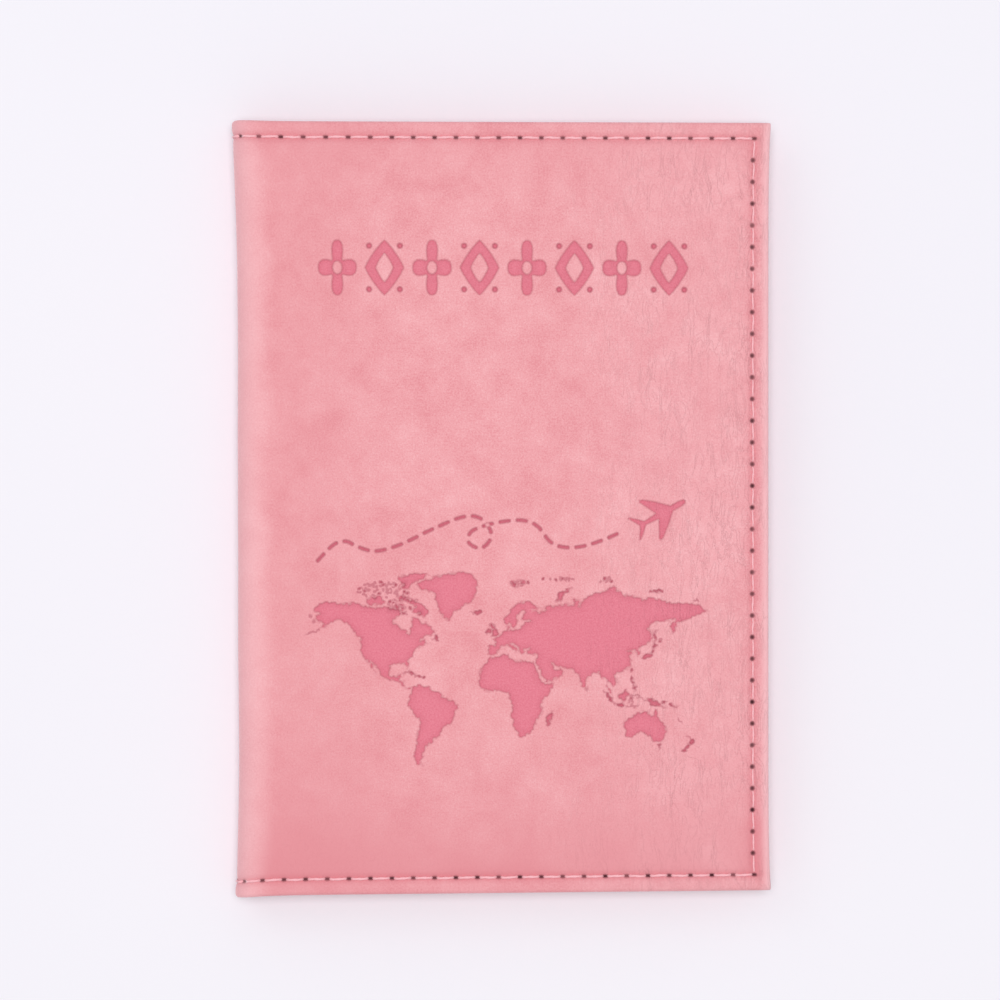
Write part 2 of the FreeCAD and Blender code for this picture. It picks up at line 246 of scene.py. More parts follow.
def surface_height(side, u, y):
    """How far the leather stands out: puffed inside the seam and drawn in along it. The back
    cover is flat, and its half of the spine meets the front's."""
    inside = seam_gap(u, y)
    far, _, _ = past_edge(u, y)
    fade = 1 - smooth(far, -0.2, 0.8)
    puff = PUFF * (1 - math.exp(-max(inside, 0) / 4.5))
    puff += 0.10 * field(u, y, 26, 1) + 0.035 * field(u, y, 8, 2)
    if side == "back":
        puff *= 1 - smooth(u, SPINE_MIDDLE, FLAT_START)
    border = 0.10 * math.sin(math.pi * min(max(-inside, 0) / 2.2, 1))
    seam = -SEAM_DEPTH * math.exp(-(inside / 0.5) ** 2)
    hole = -HOLE_DEPTH * math.exp(-(hole_gap(u, y) / HOLE_RADIUS) ** 2)
    return (puff * smooth(inside, -0.4, 0.6) + border + seam) * fade + hole


def painted_highlight_share(u, y):
    """How much lighter the leather is painted: a painted highlight on the spine's roll and the
    turned fore edge, and a little lighter across the field towards the fore edge."""
    ragged = 1.4 * field(u, y, 9, 6)
    spine = 1 - smooth(u + ragged, -48.5, -43)
    fore = smooth(u, EDGE_X - 1.2, EDGE_X + 0.4)
    field_side = smooth(u, 5, 38) * (1 - smooth(u, 43, 47))
    return float(0.8 * spine + 1.3 * fore + 0.22 * field_side)


def painted_shade_share(u, y):
    """How much painted shade darkens the leather along its ends, most at the lower one, and how
    much darker it is in a band beside the spine."""
    lower = 1.1 * math.exp(-max(SEAM_Y + y, 0) / 13)
    upper = 0.35 * math.exp(-max(SEAM_Y - y, 0) / 6)
    border = 1 - 0.76 * smooth(abs(y) - SEAM_Y, 0.1, 0.8)
    beside_spine = 0.3 * smooth(u, -47, -42) * (1 - smooth(u, -38, -14))
    off_spine = smooth(u + field(u, y, 12, 7), -49, -43)
    uneven = 0.9 + 0.4 * field(u, y, 10, 5)
    return float((lower + upper) * border * off_spine * uneven + beside_spine)


def seam_shade_share(u, y):
    """How much painted shade darkens the leather in and beside the seam's groove."""
    return math.exp(-(max(abs(seam_gap(u, y)) - 0.1, 0) / 0.8) ** 2)


def hole_shade_share(u, y):
    """How much painted shade fills a needle hole, with uneven edges."""
    dark = math.exp(-(hole_gap(u, y) / (1.15 * HOLE_RADIUS)) ** 6)
    return dark * (0.85 + 0.3 * field(u, y, 2.5, 8))


# ---------------------------------------------------------------- the pressed artwork

MAP_RADIUS = 11.9
MAP_MIDDLE = (-1.2, -35.4)
COAST_STEP = 0.4
COAST_SWAY = 0.3

# Coasts by longitude and latitude, a few degrees apart.
LAND = {
    "north_america": [
        (-166, 68), (-156, 71), (-141, 70), (-128, 70), (-115, 68.5), (-108, 68), (-96, 68),
        (-94, 72), (-90, 69), (-85, 69.5), (-82, 67), (-87, 64), (-94, 61), (-94, 58.5),
        (-88, 56.5), (-82.5, 55), (-82, 52.5), (-79.5, 51.5), (-78.5, 54), (-77, 57),
        (-78, 60), (-77.5, 62.5), (-73, 62), (-70, 60.5), (-66, 58.5), (-64.5, 60),
        (-62, 57.5), (-59, 55), (-56, 52.5), (-60, 50), (-66, 50), (-70, 47), (-65, 48.5),
        (-64.5, 46.5), (-61, 46), (-66, 43.8), (-70, 43.5), (-70.5, 41.7), (-74, 40.5),
        (-76, 37), (-76, 35), (-81, 31.5), (-80.2, 27), (-81, 25.2), (-82.7, 28),
        (-84.5, 30), (-89, 30), (-91, 29), (-97, 28), (-97.5, 22.5), (-95.5, 18.7),
        (-91.5, 18.6), (-90, 21), (-87, 21.3), (-88, 17), (-88.5, 15.8), (-83.5, 15),
        (-83.7, 11), (-81.5, 8.8), (-79, 9.5), (-77.3, 8.2), (-79.5, 7.4), (-82.5, 8),
        (-85.5, 10), (-87.5, 13), (-92, 14.5), (-95, 16), (-99, 16.6), (-104, 19),
        (-106, 22.5), (-109, 26), (-112.5, 30.5), (-114.5, 31.3), (-112, 28), (-109.8, 23),
        (-112, 25.5), (-114.8, 28.5), (-117, 32.5), (-120.5, 34.5), (-122.5, 37.5),
        (-124.3, 40.5), (-124, 46), (-123, 48.5), (-128, 51.5), (-131, 55), (-135, 58),
        (-140, 59.8), (-146, 60.8), (-151, 59.5), (-153.5, 58), (-158, 56.2), (-163, 54.7),
        (-159, 57.5), (-158, 58.7), (-162, 59.2), (-165.5, 61), (-165, 63.3), (-161, 64.5),
        (-166, 65.2),
    ],
    "greenland": [
        (-73, 78.2), (-65, 80.5), (-50, 82.2), (-33, 83.2), (-22, 82), (-18, 79), (-20, 74),
        (-23, 70.5), (-32, 68), (-40, 65), (-43, 60), (-48, 61.5), (-53, 66), (-54.5, 70),
        (-58, 75), (-67, 76),
    ],
    "baffin": [
        (-65, 62.5), (-72, 63.5), (-77, 65), (-73, 68), (-80, 70), (-89, 71), (-88, 73.5),
        (-80, 73.6), (-73, 71.3), (-67, 69), (-62, 66.5),
    ],
    "victoria": [
        (-117, 69.5), (-105, 68.8), (-101, 70), (-104, 73), (-110, 73.2), (-118, 72.3),
    ],
    "ellesmere": [
        (-90, 76.6), (-80, 76.3), (-75, 79), (-62, 82.3), (-75, 83), (-90, 81.5), (-87, 79),
    ],
    "southampton": [(-87, 64.2), (-81, 63.8), (-82, 65.8), (-86, 65.6)],
    "newfoundland": [(-59, 47.8), (-53, 46.8), (-53.5, 49.5), (-56, 51.5)],
    "aleutians": [
        (-172, 52), (-166, 53.2), (-161.5, 54.6), (-162.5, 55.3), (-167.5, 54.2), (-172, 53),
    ],
    "nunivak": [(-168, 59.8), (-165.8, 59.6), (-166.2, 61)],
    "saint_lawrence": [(-171, 62.8), (-168.5, 62.9), (-170.5, 64)],
    "cuba": [(-84.8, 21.6), (-80, 23.4), (-74.6, 20.6), (-77.5, 19.7), (-79, 21.6)],
    "hispaniola": [(-74.3, 19.9), (-68.5, 19), (-69, 17.9), (-74.3, 18)],
    "south_america": [
        (-77.3, 8), (-75, 10.8), (-71.8, 12.2), (-68, 10.8), (-62, 10.6), (-57, 6),
        (-51.5, 4.5), (-50, 0.5), (-44, -2.5), (-38.5, -3.8), (-35, -6.5), (-35.2, -9.5),
        (-38.5, -13), (-39.3, -18), (-41, -22), (-45, -23.8), (-48.5, -26), (-50, -29.5),
        (-53.5, -33.8), (-57, -34.5), (-57.5, -38), (-62, -39), (-65, -41), (-65.5, -45),
        (-67.5, -46.3), (-66, -48.5), (-69, -51), (-68.5, -53), (-66, -55), (-71, -54.3),
        (-74.5, -51), (-75.3, -47), (-73.5, -42), (-73.4, -37), (-71.5, -31), (-70.3, -24),
        (-70.5, -18.3), (-76, -14.5), (-79, -8.5), (-81.2, -5), (-80, -2.5), (-80, 0.8),
        (-77.5, 4), (-77.5, 6.8),
    ],
    "africa": [
        (-6, 35.7), (-2, 35.2), (4, 36.8), (10, 37.3), (11, 34), (15, 32.3), (20, 31),
        (22, 32.8), (29, 31), (32.5, 31.2), (34, 28), (37, 21.5), (39.5, 15.5), (43, 11.7),
        (51, 11.9), (48, 5), (42, -1.7), (39.2, -6), (40.5, -11), (40, -16), (35, -20),
        (35.5, -24), (32.8, -26.5), (30.5, -30.5), (25.5, -34), (20, -34.8), (18.3, -33),
        (15.3, -27), (14.3, -22), (11.8, -17), (13.7, -11), (12.2, -5.5), (9.2, -1),
        (9.5, 3.8), (5.5, 4.4), (1, 6), (-4, 5.2), (-8, 4.5), (-12.5, 7.5), (-16.8, 12.5),
        (-17.3, 14.8), (-16.2, 19), (-17, 21.5), (-13, 27.5), (-9.7, 30), (-9, 33),
    ],
    "madagascar": [(49.3, -12), (50.4, -16), (47, -25), (44, -24.8), (43.5, -21.5), (44.5, -16.5)],
    "eurasia": [
        (-9, 37), (-9, 43.3), (-1.8, 43.5), (-1.2, 46), (-4.7, 48.3), (1.5, 50.2), (4, 52),
        (8.2, 54), (8.2, 57), (10.5, 57.5), (10, 54.5), (14, 54), (18.5, 54.7), (21, 55.5),
        (23, 57.5), (24.5, 59.2), (30, 60), (24, 60.2), (21.5, 61.5), (25, 65), (22, 65.7),
        (17.3, 61.5), (18.8, 60), (16.5, 56.8), (14, 55.5), (12.5, 56.5), (10.7, 59),
        (7, 58), (5, 61), (10, 64), (14.5, 68), (20, 70), (27, 71), (31, 70), (41, 67),
        (34, 66.5), (38, 64.3), (44, 66), (44, 68.3), (54, 68.5), (60.5, 69.5), (68.5, 68.5),
        (68, 72), (73, 71.5), (74, 68), (78, 72), (87, 74.5), (100, 76.5), (104.5, 77.6),
        (113, 74), (128, 72.5), (131, 71), (140, 72.5), (152, 71), (160, 69.7), (170, 69.8),
        (180, 68.8), (190, 66), (186, 64.5), (179, 62.3), (170, 60), (163.5, 59), (163, 56),
        (157, 51.2), (155.8, 56.5), (161, 61), (155, 59.3), (143, 59.3), (135.5, 54.7),
        (141, 52.5), (140, 48), (135, 43.5), (130.5, 42.3), (127.5, 39.5), (129.4, 36.5),
        (126.5, 34.5), (126.5, 37.5), (124.5, 40), (121.5, 39), (118, 39), (122.5, 37),
        (119.3, 35), (121.8, 31.5), (121, 28), (117, 23.5), (110.5, 21), (108, 21.5),
        (105.8, 19), (109, 13), (106.8, 10.5), (104.8, 8.8), (102.5, 12), (100.5, 13.3),
        (99.5, 10), (103.3, 4), (104, 1.4), (101, 3), (98.5, 8), (98.5, 13), (97, 17),
        (94.3, 16), (91.8, 22.5), (87, 21.3), (80.3, 15.5), (80, 11), (77.5, 8.1),
        (74.5, 13.5), (72.8, 20), (70, 21), (67, 24.8), (61.5, 25.2), (57, 26.8),
        (51.5, 27.8), (48.5, 30), (51, 25), (54, 24.2), (56.3, 26), (59.8, 22.5),
        (55.5, 17.5), (45, 12.9), (43, 13.5), (42.5, 16.5), (39, 21.5), (35, 28.3),
        (34.5, 31.5), (36, 36.5), (31, 36.5), (27.5, 37), (26.5, 39.5), (29.2, 41),
        (26, 40.8), (23.5, 40.5), (24, 37.8), (22, 36.7), (19.5, 40),
        (19, 42), (13.7, 45.3), (12.5, 44.2), (18.3, 40), (16.2, 38.2), (15.7, 40),
        (12.3, 41.8), (8.8, 44.4), (3.2, 43.2), (-0.3, 39.5), (-2, 36.8), (-5.5, 36),
    ],
    "iceland": [(-24, 65.5), (-22, 63.9), (-18.5, 63.4), (-13.7, 65), (-16, 66.5), (-20, 66)],
    "britain": [
        (-5.5, 50), (1.3, 51.2), (0.4, 53.3), (-2, 55.8), (-2, 57.7), (-5, 58.8), (-6, 56.5),
        (-3.2, 54.8), (-4.8, 53),
    ],
    "ireland": [(-10, 51.7), (-6.2, 52.2), (-5.8, 54.8), (-8.3, 55.2), (-10, 54)],
    "svalbard": [(14, 77.3), (18, 76.8), (26, 79.5), (18, 80.3), (11, 79.5)],
    "novaya_zemlya": [(52, 71), (57, 70.6), (60, 73.6), (68.5, 76.8), (62, 76.6), (54, 73.7)],
    "new_siberian": [(137, 75), (150, 74.6), (150, 75.6), (138, 76)],
    "wrangel": [(178, 70.7), (182.5, 70.6), (181, 71.8)],
    "honshu": [
        (130.5, 33), (135.5, 33.5), (140.7, 35.3), (142, 39.5), (140.7, 41.3), (139.3, 38.5),
        (136.3, 37), (132, 35.4),
    ],
    "hokkaido": [(140, 42), (143, 42.1), (145.3, 43.5), (142, 45.5), (141.1, 43.3)],
    "sakhalin": [(142, 46.2), (143.8, 49.5), (143.2, 54), (141.8, 52)],
    "taiwan": [(120, 22.6), (121.2, 22), (122, 25), (121, 25.2)],
    "luzon": [(120, 16), (121, 18.6), (122.5, 17), (121.7, 14.3), (124.2, 12.6), (120.6, 13.6)],
    "mindanao": [(122, 7.3), (125.5, 5.6), (126.6, 9), (124, 9.2)],
    "borneo": [
        (109, 1.8), (110, -2), (114.5, -4.2), (116.4, -3), (119, 1), (117.7, 4), (116.8, 7.2),
        (113, 3.4),
    ],
    "sumatra": [(95.3, 5.8), (98.5, 4.2), (104.3, -1), (106, -5.8), (102, -4.3), (98.2, 1.4)],
    "java": [(105.3, -6.5), (110, -6.2), (114.6, -7.6), (114.4, -8.8), (108, -8)],
    "sulawesi": [
        (119.3, -5.4), (118.9, -2.8), (120, 1), (125, 1.7), (121, 0.2), (123.3, -1),
        (122, -2), (123, -5), (121.4, -4.6), (120.4, -3),
    ],
    "new_guinea": [
        (131, -0.8), (135, -3.2), (138, -1.6), (145, -4.2), (147.6, -6.3), (150.5, -10.5),
        (146, -8.9), (143, -9.1), (138.5, -8.4), (137.8, -5.6), (133, -4),
    ],
    "australia": [
        (113.7, -22.5), (117, -20.7), (122.2, -18), (126, -14), (129.5, -15), (131, -12),
        (136.8, -12), (135.8, -15), (139.5, -17.5), (141.5, -14), (142.5, -10.7),
        (145.3, -15), (146.3, -19), (150.5, -23), (153.2, -27), (152.8, -31.5),
        (150, -37.3), (146, -39), (143.5, -38.7), (140, -37.8), (138, -34.3), (136, -34.8),
        (131.5, -31.5), (126, -32.3), (123.5, -33.9), (118, -35), (115.2, -34.2),
        (115.7, -31.5), (113.8, -26.5),
    ],
    "tasmania": [(144.6, -40.8), (148.4, -40.9), (147.5, -43.6), (145.8, -43.3)],
    "new_zealand_north": [
        (172.7, -34.4), (175.5, -36.8), (178.5, -37.8), (176.7, -40.8), (175, -41.6),
        (173.6, -39.3), (174.8, -37.5),
    ],
    "new_zealand_south": [
        (172.8, -40.5), (174.3, -41.7), (171.2, -44.5), (169, -46.7), (166.4, -46), (170, -43),
    ],
    "new_caledonia": [(163.8, -20), (167.3, -22.4), (166, -22.6), (163.5, -20.6)],
    "solomons": [(155.5, -6), (160, -8.6), (161.8, -10.2), (159, -9.5), (155, -7)],
    "new_britain": [(148.5, -5.3), (152.3, -4.2), (151.5, -6), (149, -6.4)],
    "timor": [(117, -8.3), (123.5, -8.2), (127, -8.6), (124, -10.2), (118, -9.3)],
    "halmahera": [(127.5, 2), (128.7, 1), (128, -1)],
    "sri_lanka": [(79.7, 8.4), (81.8, 7.3), (80.5, 5.8)],
}

# Groups of small islands: the middle, half the spread and how many.
ISLANDS = [
    ((-103, 76), (24, 3.6), 150), ((-85, 70), (15, 3.6), 60), ((20, 78.6), (9, 1.5), 16),
    ((55, 80.5), (14, 0.5), 22), ((98, 79.8), (7, 1.5), 18), ((-67, 18.3), (4, 0.4), 5),
    ((122.5, 11), (2.2, 3), 6), ((-5.5, 57.5), (2.6, 1.6), 4), ((25.3, 37.3), (1.4, 1), 3),
    ((-70, 63.5), (6, 2), 6), ((150, 46.5), (3.5, 2.2), 3),
]
ISLAND_SIZES = (0.2, 0.46)

# The dashed route, its loop and the plane at its end.
ROUTE = [
    (-35.3, -10.1), (-32.0, -6.9), (-29.6, -6.3), (-27.4, -7.3), (-24.0, -8.1), (-19.4, -6.9),
    (-13.3, -4.0), (-8.2, -1.9), (-5.2, -1.7), (-3.1, -3.2), (-2.4, -5.6), (-4.3, -7.6),
    (-6.6, -6.5), (-6.2, -4.6), (-3.9, -3.5), (-0.6, -2.7), (3.4, -2.4), (6.3, -3.5),
    (8.7, -6.4), (11.2, -7.4), (14.5, -7.3), (18.0, -6.3), (21.8, -4.7),
]
DASH, DASH_PITCH, DASH_WIDTH = 2.2, 3.15, 0.68
PLANE_NOSE = (34.2, 1.3)
PLANE_HEADING = math.radians(28.8)
# Half of the plane from the nose back: distance behind the nose and out from its middle.
PLANE_HALF = [
    (0.0, 0.0), (0.25, 0.42), (1.2, 0.62), (3.0, 0.6), (5.0, 2.5), (7.0, 4.1), (7.7, 4.3),
    (7.9, 3.9), (6.9, 2.0), (6.2, 0.62), (8.7, 0.42), (9.7, 1.4), (10.9, 2.4), (11.3, 2.3),
    (10.4, 0.9), (9.9, 0.0),
]
# The ornament band: alternate rosettes and lozenges in one row.
BAND_MIDDLE = (-0.1, 44.7)
BAND_COUNT = 8
BAND_PITCH = 8.9
BAND_HALF_HEIGHT = 5.2
BAND_HALF_WIDTH = 3.7


def on_map(longitude, latitude):
    """The Miller projection, centred on the cover's map."""
    rise = 1.25 * math.log(math.tan(math.pi / 4 + 0.4 * math.radians(latitude)))
    return (
        MAP_MIDDLE[0] + MAP_RADIUS * math.radians(longitude),
        MAP_MIDDLE[1] + MAP_RADIUS * rise,
    )


def rough_coast(points, rng):
    """A coast with short uneven steps between its points."""
    coast = []
    for start, end in zip(points, points[1:] + points[:1]):
        dx, dy = end[0] - start[0], end[1] - start[1]
        steps = max(1, round(math.hypot(dx, dy) / COAST_STEP))
        length = max(math.hypot(dx, dy), 0.01)
        for step in range(steps):
            share = step / steps
            sway = rng.uniform(-COAST_SWAY, COAST_SWAY) / length if step else 0
            coast.append((start[0] + dx * share - dy * sway, start[1] + dy * share + dx * sway))
    return coast


def islet(middle, rng):
    """A small uneven blob, longer one way."""
    turn, reach = rng.uniform(0, math.pi), rng.uniform(*ISLAND_SIZES)
    narrow = rng.uniform(0.4, 0.8)
    loop = []
    for corner in range(7):
        angle = 2 * math.pi * corner / 7
        uneven = rng.uniform(0.75, 1.15) * reach
        across, up = uneven * math.cos(angle), uneven * narrow * math.sin(angle)
        loop.append((middle[0] + across * math.cos(turn) - up * math.sin(turn),
                     middle[1] + across * math.sin(turn) + up * math.cos(turn)))
    return loop


def map_loops():
    """The coasts, and the groups of islets that keep clear of them and of each other."""
    rng = random.Random(11)
    loops = [rough_coast([on_map(*point) for point in coast], rng) for coast in LAND.values()]
    taken = [point for loop in loops for point in even_loop(loop, 0.3)]
    for (longitude, latitude), (wide, high), count in ISLANDS:
        for _ in range(count):
            angle, share = rng.uniform(0, 2 * math.pi), math.sqrt(rng.uniform(0, 1))
            middle = on_map(longitude + wide * share * math.cos(angle),
                            latitude + high * share * math.sin(angle))
            loop = islet(middle, rng)
            nearest = min(math.dist(point, other) for point in loop for other in taken)
            if nearest > 0.1:
                loops.append(loop)
                taken += even_loop(loop, 0.3) + [middle]
    return loops


def curve_points(points, step):
    """A smooth curve through points, with its samples a step apart."""
    fine, parts = [], 24
    ends = [points[0]] + points + [points[-1]]
    for p0, p1, p2, p3 in zip(ends, ends[1:], ends[2:], ends[3:]):
        for index in range(parts):
            t = index / parts
            fine.append(tuple(
                0.5 * (2 * b + (c - a) * t + (2 * a - 5 * b + 4 * c - d) * t ** 2
                       + (3 * b - 3 * c + d - a) * t ** 3)
                for a, b, c, d in zip(p0, p1, p2, p3)
            ))
    fine.append(points[-1])
    fine = np.array(fine)
    along = np.concatenate([[0], np.cumsum(np.linalg.norm(np.diff(fine, axis=0), axis=1))])
    at = np.arange(0, along[-1], step)
    return np.stack([np.interp(at, along, fine[:, axis]) for axis in (0, 1)], axis=1)


def dash_loops():
    """The route's dashes, each a short strip with round ends that bends with the route."""
    step = 0.23
    line = curve_points(ROUTE, step)
    per_dash, per_pitch = round(DASH / step), round(DASH_PITCH / step)
    loops = []
    for first in range(0, len(line) - per_dash, per_pitch):
        run = line[first:first + per_dash + 1]
        heading = np.gradient(run, axis=0)
        heading /= np.linalg.norm(heading, axis=1)[:, None]
        side = np.stack([-heading[:, 1], heading[:, 0]], axis=1) * DASH_WIDTH / 2
        side[[0, -1]] *= 0.55
        loops.append([tuple(p) for p in np.concatenate([run + side, (run - side)[::-1]])])
    return loops


def plane_loop():
    outline = PLANE_HALF + [(back, -out) for back, out in reversed(PLANE_HALF[1:-1])]
    cosine, sine = math.cos(PLANE_HEADING), math.sin(PLANE_HEADING)
    return [
        (PLANE_NOSE[0] - back * cosine - out * sine, PLANE_NOSE[1] - back * sine + out * cosine)
        for back, out in outline
    ]


def ring(middle, radii, count, petals=0.0, turn=0.0):
    """A round or petalled loop. petals is how deep the four waists are cut."""
    loop = []
    for index in range(count):
        angle = 2 * math.pi * index / count + turn
        reach = 1 - petals * (0.5 - 0.5 * math.cos(4 * angle)) ** 1.5
        loop.append((middle[0] + radii[0] * reach * math.cos(angle),
                     middle[1] + radii[1] * reach * math.sin(angle)))
    return loop


def lozenge(middle, half_width, half_height):
    """Four hollow-sided points."""
    loop = []
    for index in range(32):
        angle = 2 * math.pi * index / 32
        across, up = math.cos(angle), math.sin(angle)
        loop.append((middle[0] + half_width * math.copysign(abs(across) ** 1.7, across),
                     middle[1] + half_height * math.copysign(abs(up) ** 1.7, up)))
    return loop


def band_loops():
    """The ornament band. A loop inside another is left standing."""
    loops = []
    for index in range(BAND_COUNT):
        middle = (BAND_MIDDLE[0] + BAND_PITCH * (index - (BAND_COUNT - 1) / 2), BAND_MIDDLE[1])
        if index % 2:
            loops.append(lozenge(middle, BAND_HALF_WIDTH, BAND_HALF_HEIGHT))
            loops.append(lozenge(middle, BAND_HALF_WIDTH * 0.42, BAND_HALF_HEIGHT * 0.5))
            for up in (-1, 1):
                for across in (-1, 1):
                    corner = (middle[0] + across * BAND_HALF_WIDTH * 0.78,
                              middle[1] + up * BAND_HALF_HEIGHT * 0.78)
                    loops.append(ring(corner, (0.55, 0.55), 12))
        else:
            loops.append(ring(middle, (BAND_HALF_WIDTH, BAND_HALF_HEIGHT), 56, petals=0.62))
            loops.append(ring(middle, (0.85, 1.15), 20))
    return loops


def even_loop(loop, step):
    """The loop with its longer sides divided."""
    even = []
    for start, end in zip(loop, loop[1:] + loop[:1]):
        parts = max(1, round(math.hypot(end[0] - start[0], end[1] - start[1]) / step))
        for part in range(parts):
            share = part / parts
            even.append((start[0] + (end[0] - start[0]) * share,
                         start[1] + (end[1] - start[1]) * share))
    return even


class Artwork:
    """The pressed shapes: how far a point is from their outlines, and whether it is inside."""

    def __init__(self):
        drawn = band_loops() + dash_loops() + [plane_loop()]
        self.loops = [even_loop(loop, 0.4) for loop in drawn] + map_loops()
        samples, self.strength = [], []
        for loop in self.loops:
            more = even_loop(loop, 0.08)
            samples += more
            self.strength += [self.rim_shade_strength(loop)] * len(more)
        self.tree = kdtree.KDTree(len(samples))
        for index, point in enumerate(samples):
            self.tree.insert((*point, 0), index)
        self.tree.balance()

    def rim_shade_strength(self, loop):
        """Narrow shapes get stronger painted rim shade than broad ones."""
        ends = np.array(loop)
        following = np.roll(ends, -1, axis=0)
        area = abs((ends[:, 0] * following[:, 1] - following[:, 0] * ends[:, 1]).sum()) / 2
        length = np.linalg.norm(following - ends, axis=1).sum()
        return 0.36 + 0.64 * math.exp(-(area / length / 0.33) ** 2)

    def inside(self, points):
        """Whether each point is inside an odd number of loops."""
        odd = np.zeros(len(points), bool)
        x, y = points[:, 0], points[:, 1]
        for loop in self.loops:
            ends = np.array(loop)
            low, high = ends.min(axis=0), ends.max(axis=0)
            near = np.nonzero((points >= low).all(axis=1) & (points <= high).all(axis=1))[0]
            if not len(near):
                continue
            px, py = x[near][:, None], y[near][:, None]
            following = np.roll(ends, -1, axis=0)
            crosses = (ends[:, 1] > py) != (following[:, 1] > py)
            rise = following[:, 1] - ends[:, 1]
            rise = np.where(rise == 0, 1e-12, rise)
            at = ends[:, 0] + (py - ends[:, 1]) * (following[:, 0] - ends[:, 0]) / rise
            odd[near] ^= (crosses & (px < at)).sum(axis=1) % 2 == 1
        return odd

    def gap(self, point):
        return self.tree.find((point[0], point[1], 0))[2]

    def depth_shares(self, points):
        """For each point, its share of the full depth and of the painted shade along the rim."""
        inside = self.inside(points)
        found = [self.tree.find((x, y, 0)) for x, y in points]
        gaps = np.array([gap for _, _, gap in found])
        strength = np.array([self.strength[index] for _, index, _ in found])
        signed = np.where(inside, gaps, -gaps)
        # The rim is painted shade inside the edge of each pressed shape, along its walls.
        rim = np.where(signed > 0.08, np.exp(-(signed - 0.08) / 0.32),
                       np.exp(-((signed - 0.08) / 0.1) ** 2))
        return smooth(signed, -0.05, 0.24), rim * strength


# ---------------------------------------------------------------- meshes

def make_object(name, points, faces, attributes=None, creased=frozenset()):
    """A mesh object from points in millimetres, with its point attributes. An edge between two
    creased points is sharp."""
    mesh = bpy.data.meshes.new(name)
    mesh.from_pydata([tuple(c * MM for c in point) for point in points], [], faces)
    mesh.validate()
    for key, values in (attributes or {}).items():
        values = np.asarray(values, np.float32)
        kind, slot_name = ("FLOAT_VECTOR", "vector") if values.ndim == 2 else ("FLOAT", "value")
        layer = mesh.attributes.new(key, kind, "POINT")
        layer.data.foreach_set(slot_name, values.ravel())
    mesh.polygons.foreach_set("use_smooth", [True] * len(mesh.polygons))
    mesh.edges.foreach_set("use_edge_sharp", [creased.issuperset(edge.vertices)
                                              for edge in mesh.edges])
    mesh.update()
    piece = bpy.data.objects.new(name, mesh)
    bpy.context.collection.objects.link(piece)
    return piece


def edge_row(offset, step):
    """Points along the line that runs parallel to the rolled edge, offset outwards from it."""
    reach = max(CORNER + offset, 0)
    shift = min(CORNER + offset, 0)
    x, y = EDGE_X - CORNER + shift, EDGE_Y - CORNER + shift
    lower = [(u, -y - reach) for u in np.arange(SPINE_MIDDLE, x - step / 2, step)]
    turns = max(1, round(math.pi / 2 * reach / min(step, 0.5)))
    for turn in range(turns + 1):
        across = math.sin(math.pi / 2 * turn / turns) ** (2 / SQUARE)
        down = abs(math.cos(math.pi / 2 * turn / turns)) ** (2 / SQUARE)
        lower.append((x + reach * across, -y - reach * down))
    count = round(2 * y / step)
    side = [(x + reach, -y + 2 * y * index / count) for index in range(1, count)]
    return lower + side + [(u, -v) for u, v in reversed(lower)]


def spaced_points(fixed, extra, gap):
    """The extra points that stay clear of the fixed ones."""
    if not fixed:
        return extra
    tree = kdtree.KDTree(len(fixed))
    for index, point in enumerate(fixed):
        tree.insert((*point, 0), index)
    tree.balance()
    return [point for point in extra if tree.find((point[0], point[1], 0))[2] > gap]


def offset_points(loop, distance):
    """Points beside each point of a loop, on both sides."""
    line = np.array(loop)
    heading = np.roll(line, -1, axis=0) - np.roll(line, 1, axis=0)
    heading /= np.maximum(np.linalg.norm(heading, axis=1), 1e-9)[:, None]
    side = np.stack([-heading[:, 1], heading[:, 0]], axis=1) * distance
    return [tuple(point) for point in np.concatenate([line + side, line - side])]


def skin_domain(artwork, grid):
    """The flat pattern of a skin, triangulated: finer at the edge, seam, holes and artwork."""
    boundary = edge_row(WRAP, 1.0)
    rows = [edge_row(math.pi * ROLL * share, 1.0) for share in (0.17, 0.34, 0.5, 0.7, 0.85, 1)]
    rows.append(edge_row(0, 1.0))
    loops = artwork.loops if artwork else []
    fixed = list(boundary)
    for row in rows:
        fixed += row
    for u, y in HOLES:
        fixed.append((u, y))
        for radius, count in ((0.17, 6), (0.36, 8), (0.62, 8)):
            fixed += ring((u, y), (radius, radius), count, turn=radius)
    edges = [(i, i + 1) for i in range(len(boundary) - 1)]
    beside = []
    for distance in (0.2, 0.42):
        for loop in loops:
            close = [point for point in offset_points(loop, distance)
                     if artwork.gap(point) > distance * 0.8]
            beside += spaced_points(beside, close, 0.16)
    seam_inset = HALF_WIDTH - SEAM_X - ROLL
    seams = [point for gap in (-1.3, -0.65, 0, 0.65, 1.3, 2.2)
             for point in edge_row(-seam_inset - gap, 0.6)]
    fixed += spaced_points(fixed, seams, 0.3)
    for loop in loops:
        start = len(fixed)
        fixed += loop
        edges += [(start + i, start + (i + 1) % len(loop)) for i in range(len(loop))]
    fixed += spaced_points(fixed, beside, 0.1)
    lines = np.arange(-EDGE_Y + grid / 2, EDGE_Y, grid)
    plain = [(min(u + (0.25 * grid if index % 2 else 0), EDGE_X), y)
             for u in np.arange(SPINE_MIDDLE, EDGE_X, grid) for index, y in enumerate(lines)]
    fixed += spaced_points(fixed, plain, 0.42 * grid)
    vertices = [Vector(point) for point in fixed]
    points, _, faces, *_ = delaunay_2d_cdt(vertices, edges, [], 0, 1e-5)
    return np.array([tuple(point) for point in points]), [tuple(face) for face in faces]


def turned_right(points, faces, flip):
    """The triangles of a flat pattern, all facing up, or down if flip is set."""
    kept = []
    for a, b, c in faces:
        (ax, ay), (bx, by), (cx, cy) = points[a], points[b], points[c]
        area = (bx - ax) * (cy - ay) - (by - ay) * (cx - ax)
        if abs(area) < 1e-7:
            continue
        kept.append((a, b, c) if (area > 0) != flip else (a, c, b))
    return kept


